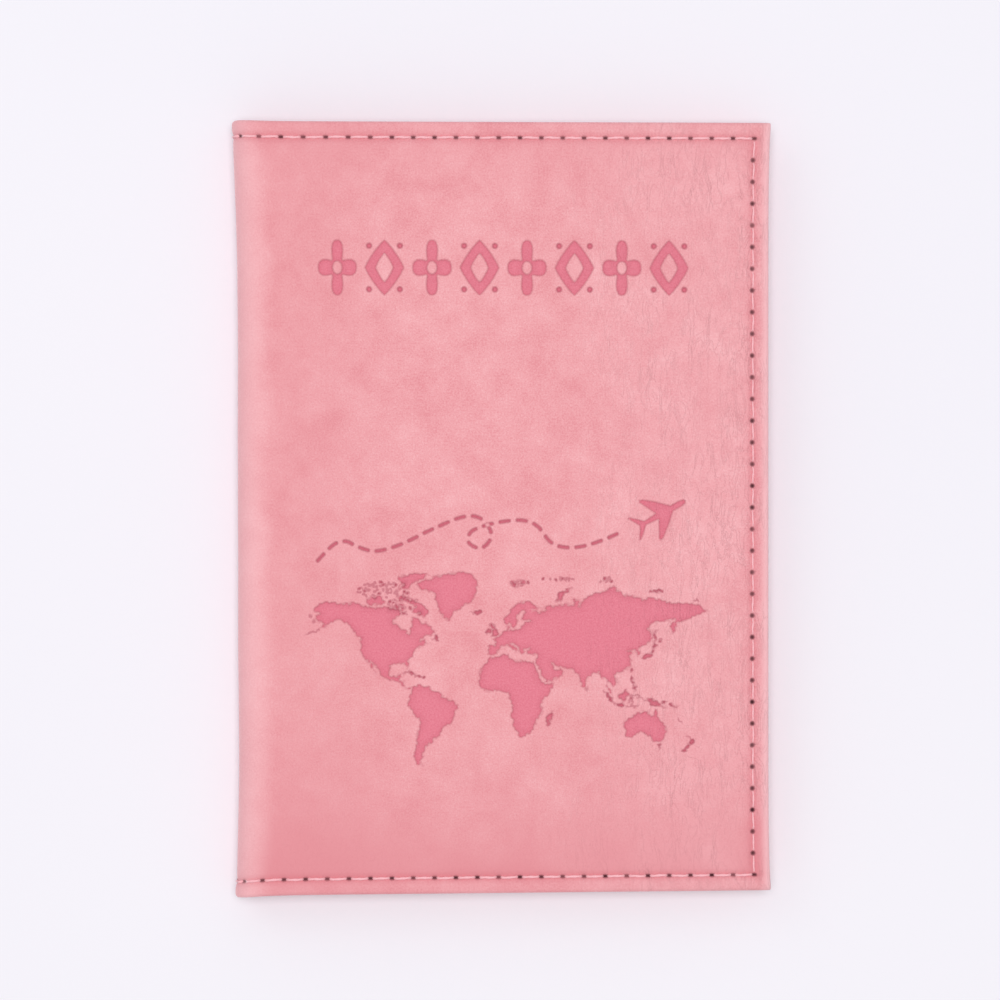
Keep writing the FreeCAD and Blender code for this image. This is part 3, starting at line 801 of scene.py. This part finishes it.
def make_skin(side, artwork=None):
    """A cover's outer skin with its half of the spine, a closed shell with its hem turned in."""
    flat, triangles = skin_domain(artwork, 1.0 if artwork else 1.6)
    press, rim = artwork.depth_shares(flat) if artwork else np.zeros((2, len(flat)))
    points, inner = [], {}
    for index, (u, y) in enumerate(flat):
        height = surface_height(side, u, y) - PRESS_DEPTH * press[index]
        points.append(cover_point(side, u, y, 0, height))
    # The shell's two faces share their points at the hem's end and along the spine's middle, so
    # that they close on each other.
    for index, (u, y) in enumerate(flat):
        far, _, _ = past_edge(u, y)
        if far > WRAP - 0.02 or u < SPINE_MIDDLE + 0.001:
            inner[index] = index
        else:
            inner[index] = len(points)
            points.append(cover_point(side, u, y, SKIN_INSIDE, 0))
    flip = side == "back"
    outside = [face for face in turned_right(flat, triangles, flip)
               if any(inner[corner] != corner for corner in face)]
    inside = [(inner[a], inner[c], inner[b]) for a, b, c in outside]
    count = len(points)
    sheet = np.zeros((count, 3))
    sheet[:len(flat), :2] = flat * MM
    for index, other in inner.items():
        sheet[other, :2] = flat[index] * MM
    if flip:
        sheet[:, 0] = 2 * SPINE_MIDDLE * MM - sheet[:, 0]
    # These shares carry the pressed floors' own colour, painted shade on the pressed rims, the
    # seam's groove, the needle holes and the cover's ends, and a painted highlight on the spine
    # and fore edge.
    shares = {"press": press, "rim": rim}
    for key, share in (("seam", seam_shade_share), ("painted_highlight", painted_highlight_share), ("hole", hole_shade_share),
                       ("painted_shade", painted_shade_share)):
        shares[key] = [share(u, y) for u, y in flat]
    spare = np.zeros(count - len(flat))
    attributes = {key: np.concatenate([values, spare]) for key, values in shares.items()}
    attributes["sheet"] = sheet
    creased = {index for index, other in inner.items() if index == other}
    return make_object(f"{side}_cover_skin", points, outside + inside, attributes, creased)


def make_sheet(name, side, u_range, y_range, depth, thickness, step=1.6, flare=None):
    """A layer inside a cover: a thin closed sheet whose outer face is at a depth in the cover.
    depth is a function of (u, y); thickness is added inwards."""
    columns = max(2, round((u_range[1] - u_range[0]) / step)) + 1
    rows = max(2, round((y_range[1] - y_range[0]) / step)) + 1
    us = np.linspace(*u_range, columns)
    ys = np.linspace(*y_range, rows)
    points, sheet = [], []
    for layer in (0, 1):
        for u in us:
            for y in ys:
                shift = flare(u, y) if flare else 0
                points.append(cover_point(side, u + shift, y, depth(u, y) + layer * thickness))
                sheet.append((u * MM, y * MM, 0))
    size = columns * rows
    faces = []
    for i in range(columns - 1):
        for j in range(rows - 1):
            a, b = i * rows + j, (i + 1) * rows + j
            faces.append((a, b, b + 1, a + 1))
            faces.append((size + a, size + a + 1, size + b + 1, size + b))
    rim = [i * rows for i in range(columns)]
    rim += [(columns - 1) * rows + j for j in range(1, rows)]
    rim += [i * rows + rows - 1 for i in range(columns - 2, -1, -1)]
    rim += list(range(rows - 2, 0, -1))
    for a, b in zip(rim, rim[1:] + rim[:1]):
        faces.append((b, a, size + a, size + b))
    if side == "back":
        faces = [face[::-1] for face in faces]
    return make_object(name, points, faces, {"sheet": sheet})


def stitch_tube(path, radius):
    """A closed tube along a path whose section shows the thread's twisted plies."""
    points, faces = [], []
    up = Vector((0, 0, 1))
    for index, middle in enumerate(path):
        ahead = path[min(index + 1, len(path) - 1)] - path[max(index - 1, 0)]
        ahead.normalize()
        guide = up if abs(ahead.z) < 0.9 else Vector((1, 0, 0))
        side = ahead.cross(guide).normalized()
        over = side.cross(ahead)
        for corner in range(TUBE_SIDES):
            angle = 2 * math.pi * corner / TUBE_SIDES
            reach = radius * (1 + 0.16 * math.cos(PLIES * angle - PLY_TWIST * index))
            points.append(middle + side * reach * math.cos(angle) + over * reach * math.sin(angle))
    last = len(points) - TUBE_SIDES
    for first in range(0, last, TUBE_SIDES):
        for corner in range(TUBE_SIDES):
            a, b = first + corner, first + (corner + 1) % TUBE_SIDES
            faces.append((a, b, b + TUBE_SIDES, a + TUBE_SIDES))
    faces.append(tuple(range(TUBE_SIDES))[::-1])
    faces.append(tuple(range(last, last + TUBE_SIDES)))
    return points, faces


def join_tubes(name, paths):
    """One mesh of the tubes along paths, each a (points, radius) pair."""
    points, faces = [], []
    for path, radius in paths:
        tube_points, tube_faces = stitch_tube(path, radius)
        start = len(points)
        points += tube_points
        faces += [tuple(start + index for index in face) for face in tube_faces]
    return make_object(name, points, faces)


def stitch_paths(lines, rng, place, rise=STITCH_RISE, sink=STITCH_SINK, rings=12):
    """A (path, radius) pair for each stitch between two holes. lines holds (holes, radius)
    pairs, and place gives a point at (u, y, height)."""
    paths = []
    for line, radius in lines:
        for start, end in zip(line, line[1:]):
            dx, dy = end[0] - start[0], end[1] - start[1]
            far = math.hypot(dx, dy)
            sway = rng.uniform(-STITCH_SWAY, STITCH_SWAY)
            lean = rng.uniform(-STITCH_LEAN, STITCH_LEAN)
            path = []
            for index in range(rings + 1):
                share = index / rings
                bow = math.sin(math.pi * share)
                across = (sway * bow + lean * math.sin(2 * math.pi * share)) / far
                reach = STITCH_START + STITCH_REACH * share
                u = start[0] + dx * reach - dy * across
                y = start[1] + dy * reach + dx * across
                height = -sink + (sink + rise) * min(bow * 1.9, 1) ** 0.7
                path.append(place(u, y, height))
            paths.append((path, radius))
    return paths


def inner_depth(side, u, y):
    """How deep the innermost sewn layer's face lies along the seam."""
    opening = (sleeve_low if side == "front" else back_sleeve_low)[0]
    return PANEL + (SLEEVE if u > opening else 0)


def make_seam(side):
    """The needle thread on the skin and the bobbin thread on the sleeve, stitch by stitch."""
    rng = random.Random(3 if side == "front" else 5)

    def on_skin(u, y, height):
        return cover_point(side, u, y, 0, SEAM_FLOOR + height)

    def on_sleeve(u, y, height):
        return cover_point(side, u, y, inner_depth(side, u, y) + height * 0.8 - 0.05)

    lines = list(zip(seam_lines(), (0.24, 0.18, 0.24)))
    outer = join_tubes(f"{side}_seam_needle_thread", stitch_paths(lines, rng, on_skin))
    inner = join_tubes(f"{side}_seam_bobbin_thread",
                       stitch_paths(lines, rng, on_sleeve, rise=0.2))
    return outer, inner


# ---------------------------------------------------------------- the pieces

def bend(piece, side, depth=0.0):
    """Bakes a piece's transform into its mesh; the ends of the cover's fold are worked out but the
    piece is not bent. depth is that of its layer in the cover.
    """
    x = -HALF_WIDTH + depth, -HALF_WIDTH + SPINE_RADIUS
    z = TOP - SPINE_RADIUS, TOP - depth
    if side == "back":
        z = TOP - z[0], TOP - z[1]
    start, end = ((x[i] * MM, 0, z[i] * MM) for i in (0, 1))
    first, last = "spine", side
    if side == "back":
        first, last, start, end = side, "spine", end, start
    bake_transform(piece)


def add_skin(side, artwork=None):
    skin = make_skin(side, artwork)
    bend(skin, side)
    nodes = ["front_skin"] if side == "front" else ["back_skin", "spine_skin"]
    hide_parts(*nodes)
    return skin


def add_seam(side):
    threads = make_seam(side)
    nodes = ([f"{side}_needle_thread"], [f"{side}_bobbin_thread"])
    if side == "back":
        nodes[0].append("spine_needle_thread")
        nodes[1].append("spine_bobbin_thread")
    for thread, replaced, depth in zip(threads, nodes, (0.0, PANEL)):
        bend(thread, side, depth)
        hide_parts(*replaced)
    return threads


def add_lining(side):
    u_range = (SPINE_MIDDLE, lining_high[0])
    y_range = (lining_low[1], lining_high[1])
    depth = PANEL - LINING
    lining = make_sheet(f"{side}_lining_sheet", side, u_range, y_range,
                        lambda u, y: depth, LINING - 0.02)
    bend(lining, side, depth)
    nodes = [f"{side}_lining"] + (["spine_lining"] if side == "back" else [])
    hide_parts(*nodes)
    return lining


def add_sleeve(side):
    """A slip sleeve, flat at its seam and lifted off the lining inside it."""
    low, high = (sleeve_low, sleeve_high) if side == "front" else (back_sleeve_low,
                                                                    back_sleeve_high)
    u_range, y_range = (low[0], high[0]), (low[1], high[1])

    def depth(u, y):
        lift = smooth(seam_gap(u, y), 0.5, 4.0)
        return PANEL + SLEEVE_LIFT * lift * (1 + 0.12 * field(u, y, 30, 4))

    def opening_bow(u, y):
        near = 1 - smooth(u, low[0], low[0] + 14)
        return 0.9 * near * (1 - (y / high[1]) ** 2)

    sleeve = make_sheet(f"{side}_slip_sleeve", side, u_range, y_range, depth, SLEEVE,
                        flare=opening_bow)
    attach(sleeve, side)
    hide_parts(f"{side}_sleeve")
    return sleeve


POCKET_SEEDS = {"upper": 122, "lower": 113}


def add_card_pocket(name):
    """A card pocket on the front sleeve, and the stitches round three of its edges."""
    low, high = pocket_boxes[name]
    u_range, y_range = (low[0], high[0]), (low[1], high[1])
    floor = PANEL + SLEEVE_LIFT + SLEEVE
    margin, pitch = 0.6, 3.6

    def depth(u, y):
        lift = smooth(min(high[0] - abs(u), y - low[1]), margin + 0.2, margin + 2.4)
        return floor + POCKET_LIFT * lift

    pocket = make_sheet(f"{name}_card_pocket_sheet", "front", u_range, y_range, depth, POCKET,
                        step=1.4)
    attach(pocket, "front")
    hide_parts(f"{name}_card_pocket")

    side_u, closed = high[0] - margin, low[1] + margin
    sides = int((high[1] - closed) / pitch)
    across = round(2 * side_u / pitch)
    line = [(-side_u, closed + pitch * index) for index in range(sides, 0, -1)]
    line += [(-side_u + 2 * side_u * index / across, closed) for index in range(across + 1)]
    line += [(side_u, closed + pitch * index) for index in range(1, sides + 1)]

    def on_pocket(u, y, height):
        return cover_point("front", u, y, floor + POCKET + 0.6 * height)

    rng = random.Random(POCKET_SEEDS[name])
    paths = stitch_paths([(line, 0.16)], rng, on_pocket, rise=0.2, sink=0.2, rings=10)
    stitches = join_tubes(f"{name}_card_pocket_thread", paths)
    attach(stitches, "front")
    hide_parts(f"{name}_pocket_stitches")
    return pocket, stitches


def add_spine_foam():
    """The foam strip in the spine, in two halves that follow the skin's curve."""
    strips = []
    y_range = (foam_box[0][1], foam_box[1][1])
    for side in ("front", "back"):
        strip = make_sheet(f"spine_foam_{side}_half", side, (SPINE_MIDDLE, SPINE_MIDDLE + 3),
                           y_range, lambda u, y: SKIN_INSIDE + 0.1, 0.3, step=1.0)
        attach(strip, "spine")
        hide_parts("spine_foam")
        strips.append(strip)
    return strips


# ---------------------------------------------------------------- materials

def linear(red, green, blue, alpha=1.0):
    """A colour given in the usual 0 to 255 steps, as the shader wants it."""
    def one(value):
        value /= 255
        return value / 12.92 if value <= 0.04045 else ((value + 0.055) / 1.055) ** 2.4
    return (one(red), one(green), one(blue), alpha)


class Shader:
    """A material's nodes, with a short call for each kind used here."""

    def __init__(self, name):
        self.material = bpy.data.materials.new(name)
        self.material.use_nodes = True
        self.tree = self.material.node_tree
        self.tree.nodes.clear()
        output = self.tree.nodes.new("ShaderNodeOutputMaterial")
        self.surface = self.tree.nodes.new("ShaderNodeBsdfPrincipled")
        self.tree.links.new(self.surface.outputs[0], output.inputs["Surface"])

    def feed(self, socket, value):
        if isinstance(value, bpy.types.NodeSocket):
            self.tree.links.new(value, socket)
        else:
            socket.default_value = value

    def node(self, kind, inputs=None, **settings):
        node = self.tree.nodes.new(kind)
        for key, value in settings.items():
            setattr(node, key, value)
        for key, value in (inputs or {}).items():
            self.feed(node.inputs[key], value)
        return node

    def sheet_mm(self):
        """The place on the piece's flat pattern, in millimetres."""
        place = self.node("ShaderNodeAttribute", attribute_name="sheet").outputs["Vector"]
        return self.scaled(place, (1 / MM, 1 / MM, 1 / MM))

    def object_mm(self):
        place = self.node("ShaderNodeTexCoord").outputs["Object"]
        return self.scaled(place, (1 / MM, 1 / MM, 1 / MM))

    def scaled(self, place, scale):
        node = self.node("ShaderNodeVectorMath", {0: place, 1: scale}, operation="MULTIPLY")
        return node.outputs[0]

    def amount(self, name):
        return self.node("ShaderNodeAttribute", attribute_name=name).outputs["Fac"]

    def noise(self, place, size, detail=4.0, roughness=0.6, distortion=0.0):
        node = self.node("ShaderNodeTexNoise", {
            "Vector": place, "Scale": 1 / size, "Detail": detail, "Roughness": roughness,
            "Distortion": distortion,
        })
        return node.outputs["Fac"]

    def cells(self, place, size, feature="F1"):
        """How far the place is from the middle of a cell, or from its edge."""
        inputs = {"Vector": place, "Scale": 1 / size}
        node = self.node("ShaderNodeTexVoronoi", inputs, feature=feature)
        return node.outputs["Distance"]

    def math(self, operation, a, b=0.0, c=0.0):
        node = self.node("ShaderNodeMath", {0: a, 1: b, 2: c}, operation=operation)
        return node.outputs[0]

    def spread(self, value, low, high, to_low=0.0, to_high=1.0):
        node = self.node("ShaderNodeMapRange", {
            "Value": value, "From Min": low, "From Max": high, "To Min": to_low,
            "To Max": to_high,
        }, interpolation_type="SMOOTHSTEP")
        return node.outputs["Result"]

    def mix(self, share, first, second):
        node = self.node("ShaderNodeMix", data_type="RGBA")
        self.feed(node.inputs[0], share)
        self.feed(node.inputs[6], first)
        self.feed(node.inputs[7], second)
        return node.outputs[2]

    def tones(self, value, low, high, first, second):
        """A colour that goes from first to second as value goes from low to high."""
        return self.mix(self.spread(value, low, high), first, second)

    def tinted(self, colour, tint, value, strength):
        """The colour, mixed towards another colour where value is high; the callers pass real
        marks, painted shade and painted highlight.
        """
        return self.mix(self.math("MULTIPLY", value, strength), colour, tint)

    def bump(self, height, distance, strength):
        inputs = {"Height": height, "Distance": distance * MM, "Strength": strength}
        return self.node("ShaderNodeBump", inputs).outputs["Normal"]

    def finish(self, colour, roughness, normal=None, **constants):
        self.feed(self.surface.inputs["Base Color"], colour)
        self.feed(self.surface.inputs["Roughness"], roughness)
        if normal is not None:
            self.feed(self.surface.inputs["Normal"], normal)
        for key, value in constants.items():
            self.surface.inputs[key.replace("_", " ")].default_value = value
        return self.material


PINK = linear(237, 163, 169)
PINK_LIGHT = linear(244, 180, 185)
PINK_DARK = linear(227, 143, 151)
# A painted highlight for the spine's roll and the turned fore edge.
PAINTED_HIGHLIGHT = linear(247, 192, 197)
PRESSED = linear(221, 112, 132)
PRESSED_LIGHT = linear(231, 129, 147)
# Painted shade for the pressed shapes' rims.
RIM_SHADE = linear(164, 62, 84)
# Painted shade for the needle holes.
HOLE_SHADE = linear(66, 10, 24)
# Painted shade for the seam's groove.
SEAM_SHADE = linear(205, 104, 116)


def outer_leather():
    """Suede-like coated leather: clouded, with a fine nap, and burnished where it is pressed."""
    shader = Shader("outer_leather")
    place = shader.sheet_mm()
    clouds = shader.noise(place, 13, 5, 0.62, 0.5)
    patches = shader.noise(place, 4.2, 4, 0.6, 0.3)
    grain = shader.noise(place, 0.7, 3, 0.65)
    nap = shader.noise(place, 0.32, 2, 0.7)
    tone = shader.math("MULTIPLY_ADD", patches, 0.4, shader.math("MULTIPLY", clouds, 0.6))
    tone = shader.math("MULTIPLY_ADD", shader.math("SUBTRACT", grain, 0.5), 0.3, tone)
    tone = shader.math("MULTIPLY_ADD", shader.math("SUBTRACT", nap, 0.5), 0.8, tone)
    colour = shader.tones(tone, 0.28, 0.52, PINK_DARK, PINK)
    colour = shader.tones(tone, 0.48, 0.74, colour, PINK_LIGHT)
    creases = shader.noise(shader.scaled(place, (1.0, 0.3, 1.0)), 1.9, 3, 0.6, 1.6)
    crease = shader.math("ABSOLUTE", shader.math("SUBTRACT", creases, 0.5))
    crease = shader.spread(crease, 0.0, 0.045, 1.0, 0.0)
    # The creases grow towards the fore edge, and are uneven with the clouds.
    across = shader.node("ShaderNodeSeparateXYZ", {0: place}).outputs[0]
    where = shader.math("MULTIPLY", shader.spread(across, -5, 42, 0.1, 1.0),
                        shader.spread(clouds, 0.35, 0.6, 0.35, 1.0))
    crease = shader.math("MULTIPLY", crease, where)
    # Painted shade darkens the creases.
    colour = shader.tinted(colour, PINK_DARK, crease, 0.26)
    cracks = shader.cells(shader.scaled(place, (1.0, 0.6, 1.0)), 0.8, "DISTANCE_TO_EDGE")
    cracks = shader.spread(cracks, 0.0, 0.16, 1.0, 0.0)
    cracks = shader.math("MULTIPLY", cracks, shader.spread(grain, 0.35, 0.65, 0.15, 1.0))
    colour = shader.tinted(colour, PINK_DARK, cracks, 0.22)
    # Painted shade along the cover's ends, and a darker band beside the spine.
    colour = shader.mix(shader.amount("painted_shade"), colour, PINK_DARK)
    pressed = shader.tones(nap, 0.3, 0.7, PRESSED, PRESSED_LIGHT)
    # The spine and fore edge get a painted highlight here, the seam's groove and the pressed
    # shapes' rims get painted shade, and the pressed floors get their own darker colour.
    for tint, name, strength in ((PAINTED_HIGHLIGHT, "painted_highlight", 0.65), (SEAM_SHADE, "seam", 0.3),
                                  (pressed, "press", 0.93), (RIM_SHADE, "rim", 0.95)):
        colour = shader.tinted(colour, tint, shader.amount(name), strength)
    # The needle holes are filled with painted shade.
    colour = shader.mix(shader.amount("hole"), colour, HOLE_SHADE)
    roughness = shader.spread(grain, 0.3, 0.7, 0.66, 0.8)
    height = shader.math("MULTIPLY_ADD", grain, 0.6, shader.math("MULTIPLY", nap, 0.5))
    height = shader.math("MULTIPLY_ADD", crease, -0.6, height)
    height = shader.math("MULTIPLY_ADD", cracks, -0.35, height)
    normal = shader.bump(height, 0.1, 0.8)
    return shader.finish(colour, roughness, normal, Sheen_Weight=0.4, Sheen_Roughness=0.45,
                         Sheen_Tint=linear(255, 230, 232), Specular_IOR_Level=0.35)


def inner_leather():
    """Smoother coated leather for the sleeves and pockets, with a pebbled grain."""
    shader = Shader("inner_leather")
    place = shader.sheet_mm()
    pebble = shader.cells(place, 0.9)
    clouds = shader.noise(place, 24, 3, 0.5, 0.2)
    tone = shader.math("MULTIPLY_ADD", shader.noise(place, 0.5, 2, 0.6), 0.6,
                       shader.math("MULTIPLY", clouds, 0.4))
    colour = shader.tones(tone, 0.3, 0.7, linear(233, 150, 158), linear(239, 163, 170))
    colour = shader.mix(shader.spread(pebble, 0.0, 0.25, 0.2, 0.0), colour,
                        linear(205, 112, 124))
    height = shader.math("MULTIPLY_ADD", pebble, 0.8, shader.noise(place, 0.3, 2, 0.5))
    return shader.finish(colour, shader.spread(clouds, 0.3, 0.7, 0.52, 0.64),
                         shader.bump(height, 0.07, 0.6), Specular_IOR_Level=0.4)


def woven(name, warp, weft, pitch):
    """Plain cloth: two sets of yarns that cross over and under each other."""
    shader = Shader(name)
    place = shader.sheet_mm() if name == "lining" else shader.object_mm()
    axes = shader.node("ShaderNodeSeparateXYZ", {0: place})
    turns = 2 * math.pi / pitch
    along = shader.math("SINE", shader.math("MULTIPLY", axes.outputs[0], turns))
    across = shader.math("SINE", shader.math("MULTIPLY", axes.outputs[1], turns))
    weave = shader.math("MULTIPLY", along, across)
    slub = shader.noise(shader.scaled(place, (0.15, 1.0, 1.0)), 1.2, 3, 0.6)
    colour = shader.tones(weave, -0.5, 0.5, warp, weft)
    colour = shader.mix(shader.spread(slub, 0.35, 0.7, 0.0, 0.3), colour, weft)
    height = shader.math("MULTIPLY_ADD", weave, 0.5, slub)
    return shader.finish(colour, shader.spread(slub, 0.3, 0.7, 0.7, 0.85),
                         shader.bump(height, 0.05, 0.6), Sheen_Weight=0.2)


def thread_material():
    """Twisted polyester thread."""
    shader = Shader("thread")
    fibres = shader.noise(shader.object_mm(), 0.12, 3, 0.7)
    colour = shader.tones(fibres, 0.3, 0.7, linear(246, 168, 178), linear(255, 200, 206))
    return shader.finish(colour, shader.spread(fibres, 0.3, 0.7, 0.5, 0.68),
                         shader.bump(fibres, 0.03, 0.6), Sheen_Weight=0.35)


def fibre_board():
    """Pressed fibreboard, with its fibres mostly along the cover."""
    shader = Shader("board")
    fibres = shader.noise(shader.scaled(shader.object_mm(), (1.0, 0.2, 1.0)), 0.8, 5, 0.7)
    colour = shader.tones(fibres, 0.3, 0.7, linear(150, 132, 108), linear(186, 170, 146))
    return shader.finish(colour, shader.spread(fibres, 0.3, 0.7, 0.8, 0.92),
                         shader.bump(fibres, 0.05, 0.5))


def foam_material():
    """Open foam with fine bubbles."""
    shader = Shader("foam")
    bubbles = shader.cells(shader.object_mm(), 0.35)
    colour = shader.tones(bubbles, 0.0, 0.4, linear(214, 208, 196), linear(240, 236, 228))
    return shader.finish(colour, shader.spread(bubbles, 0.0, 0.4, 0.95, 0.85),
                         shader.bump(bubbles, 0.08, 0.6))


def dress(pieces, material):
    for piece in pieces:
        piece.data.materials.clear()
        piece.data.materials.append(material)


# ---------------------------------------------------------------- the stage

def add_floor():
    """A pale floor, just under the lowest stitch of the back cover."""
    shader = Shader("floor")
    drift = shader.noise(shader.object_mm(), 300, 2, 0.5)
    colour = shader.tones(drift, 0.3, 0.7, linear(241, 239, 246), linear(243, 241, 247))
    shader.finish(colour, 0.8, None, Specular_IOR_Level=0.1)
    reach, level = 1500, -0.3
    corners = [(x * reach, y * reach, level) for x, y in ((-1, -1), (1, -1), (1, 1), (-1, 1))]
    floor = make_object("floor", corners, [(0, 1, 2, 3)])
    dress([floor], shader.material)


def add_light(name, place, size, power, colour):
    """A round soft light, aimed at the object."""
    lamp = bpy.data.lights.new(name, "AREA")
    lamp.shape = "DISK"
    lamp.size = size
    lamp.energy = power
    lamp.color = colour
    light = bpy.data.objects.new(name, lamp)
    bpy.context.collection.objects.link(light)
    light.location = place
    light.rotation_euler = (-Vector(place)).to_track_quat("-Z", "Y").to_euler()


def add_lights():
    world = bpy.data.worlds.new("studio")
    bpy.context.scene.world = world
    world.use_nodes = True
    background = world.node_tree.nodes["Background"]
    background.inputs["Color"].default_value = (0.985, 0.98, 1.0, 1)
    background.inputs["Strength"].default_value = 0.5
    add_light("key", (-0.55, 0.45, 0.75), 0.5, 0.45, (1.0, 0.99, 0.98))
    add_light("overhead", (0.01, 0.05, 1.3), 0.5, 9.1, (1.0, 0.995, 0.99))


# The camera's height over the cover, and the width and middle of its view, in metres.
CAMERA_HEIGHT = 0.70
VIEW_WIDTH = 0.187
VIEW_MIDDLE = (-0.00075, 0.0014)
SENSOR_WIDTH = 36


def add_camera():
    """Straight down over the cover, far enough away that its sides hardly show."""
    camera = bpy.data.objects.new("camera", bpy.data.cameras.new("camera"))
    bpy.context.collection.objects.link(camera)
    camera.location = (*VIEW_MIDDLE, CAMERA_HEIGHT + TOP * MM)
    camera.data.sensor_width = SENSOR_WIDTH
    camera.data.lens = SENSOR_WIDTH * CAMERA_HEIGHT / VIEW_WIDTH
    camera.data.clip_start = 0.01
    bpy.context.scene.camera = camera


def build():
    add_camera()
    artwork = Artwork()
    skins = [add_skin("front", artwork), add_skin("back")]
    threads = [*add_seam("front"), *add_seam("back")]
    linings = [add_lining("front"), add_lining("back")]
    inner = [add_sleeve("front"), add_sleeve("back")]
    for name in ("upper", "lower"):
        pocket, stitches = add_card_pocket(name)
        inner.append(pocket)
        threads.append(stitches)
    foams = add_spine_foam()
    nodes = frame["nodes"]
    dress(skins, outer_leather())
    dress(inner, inner_leather())
    dress(linings, woven("lining", linear(222, 138, 150), linear(240, 165, 175), 0.5))
    dress(threads, thread_material())
    dress(foams + [nodes["front_foam"], nodes["back_foam"]], foam_material())
    dress([nodes["front_board"], nodes["back_board"]], fibre_board())
    dress([nodes["front_interlining"], nodes["back_interlining"]],
          woven("interlining", linear(205, 202, 196), linear(225, 222, 216), 0.8))
    add_floor()
    add_lights()
    bpy.context.scene.view_settings.view_transform = "Standard"


build()
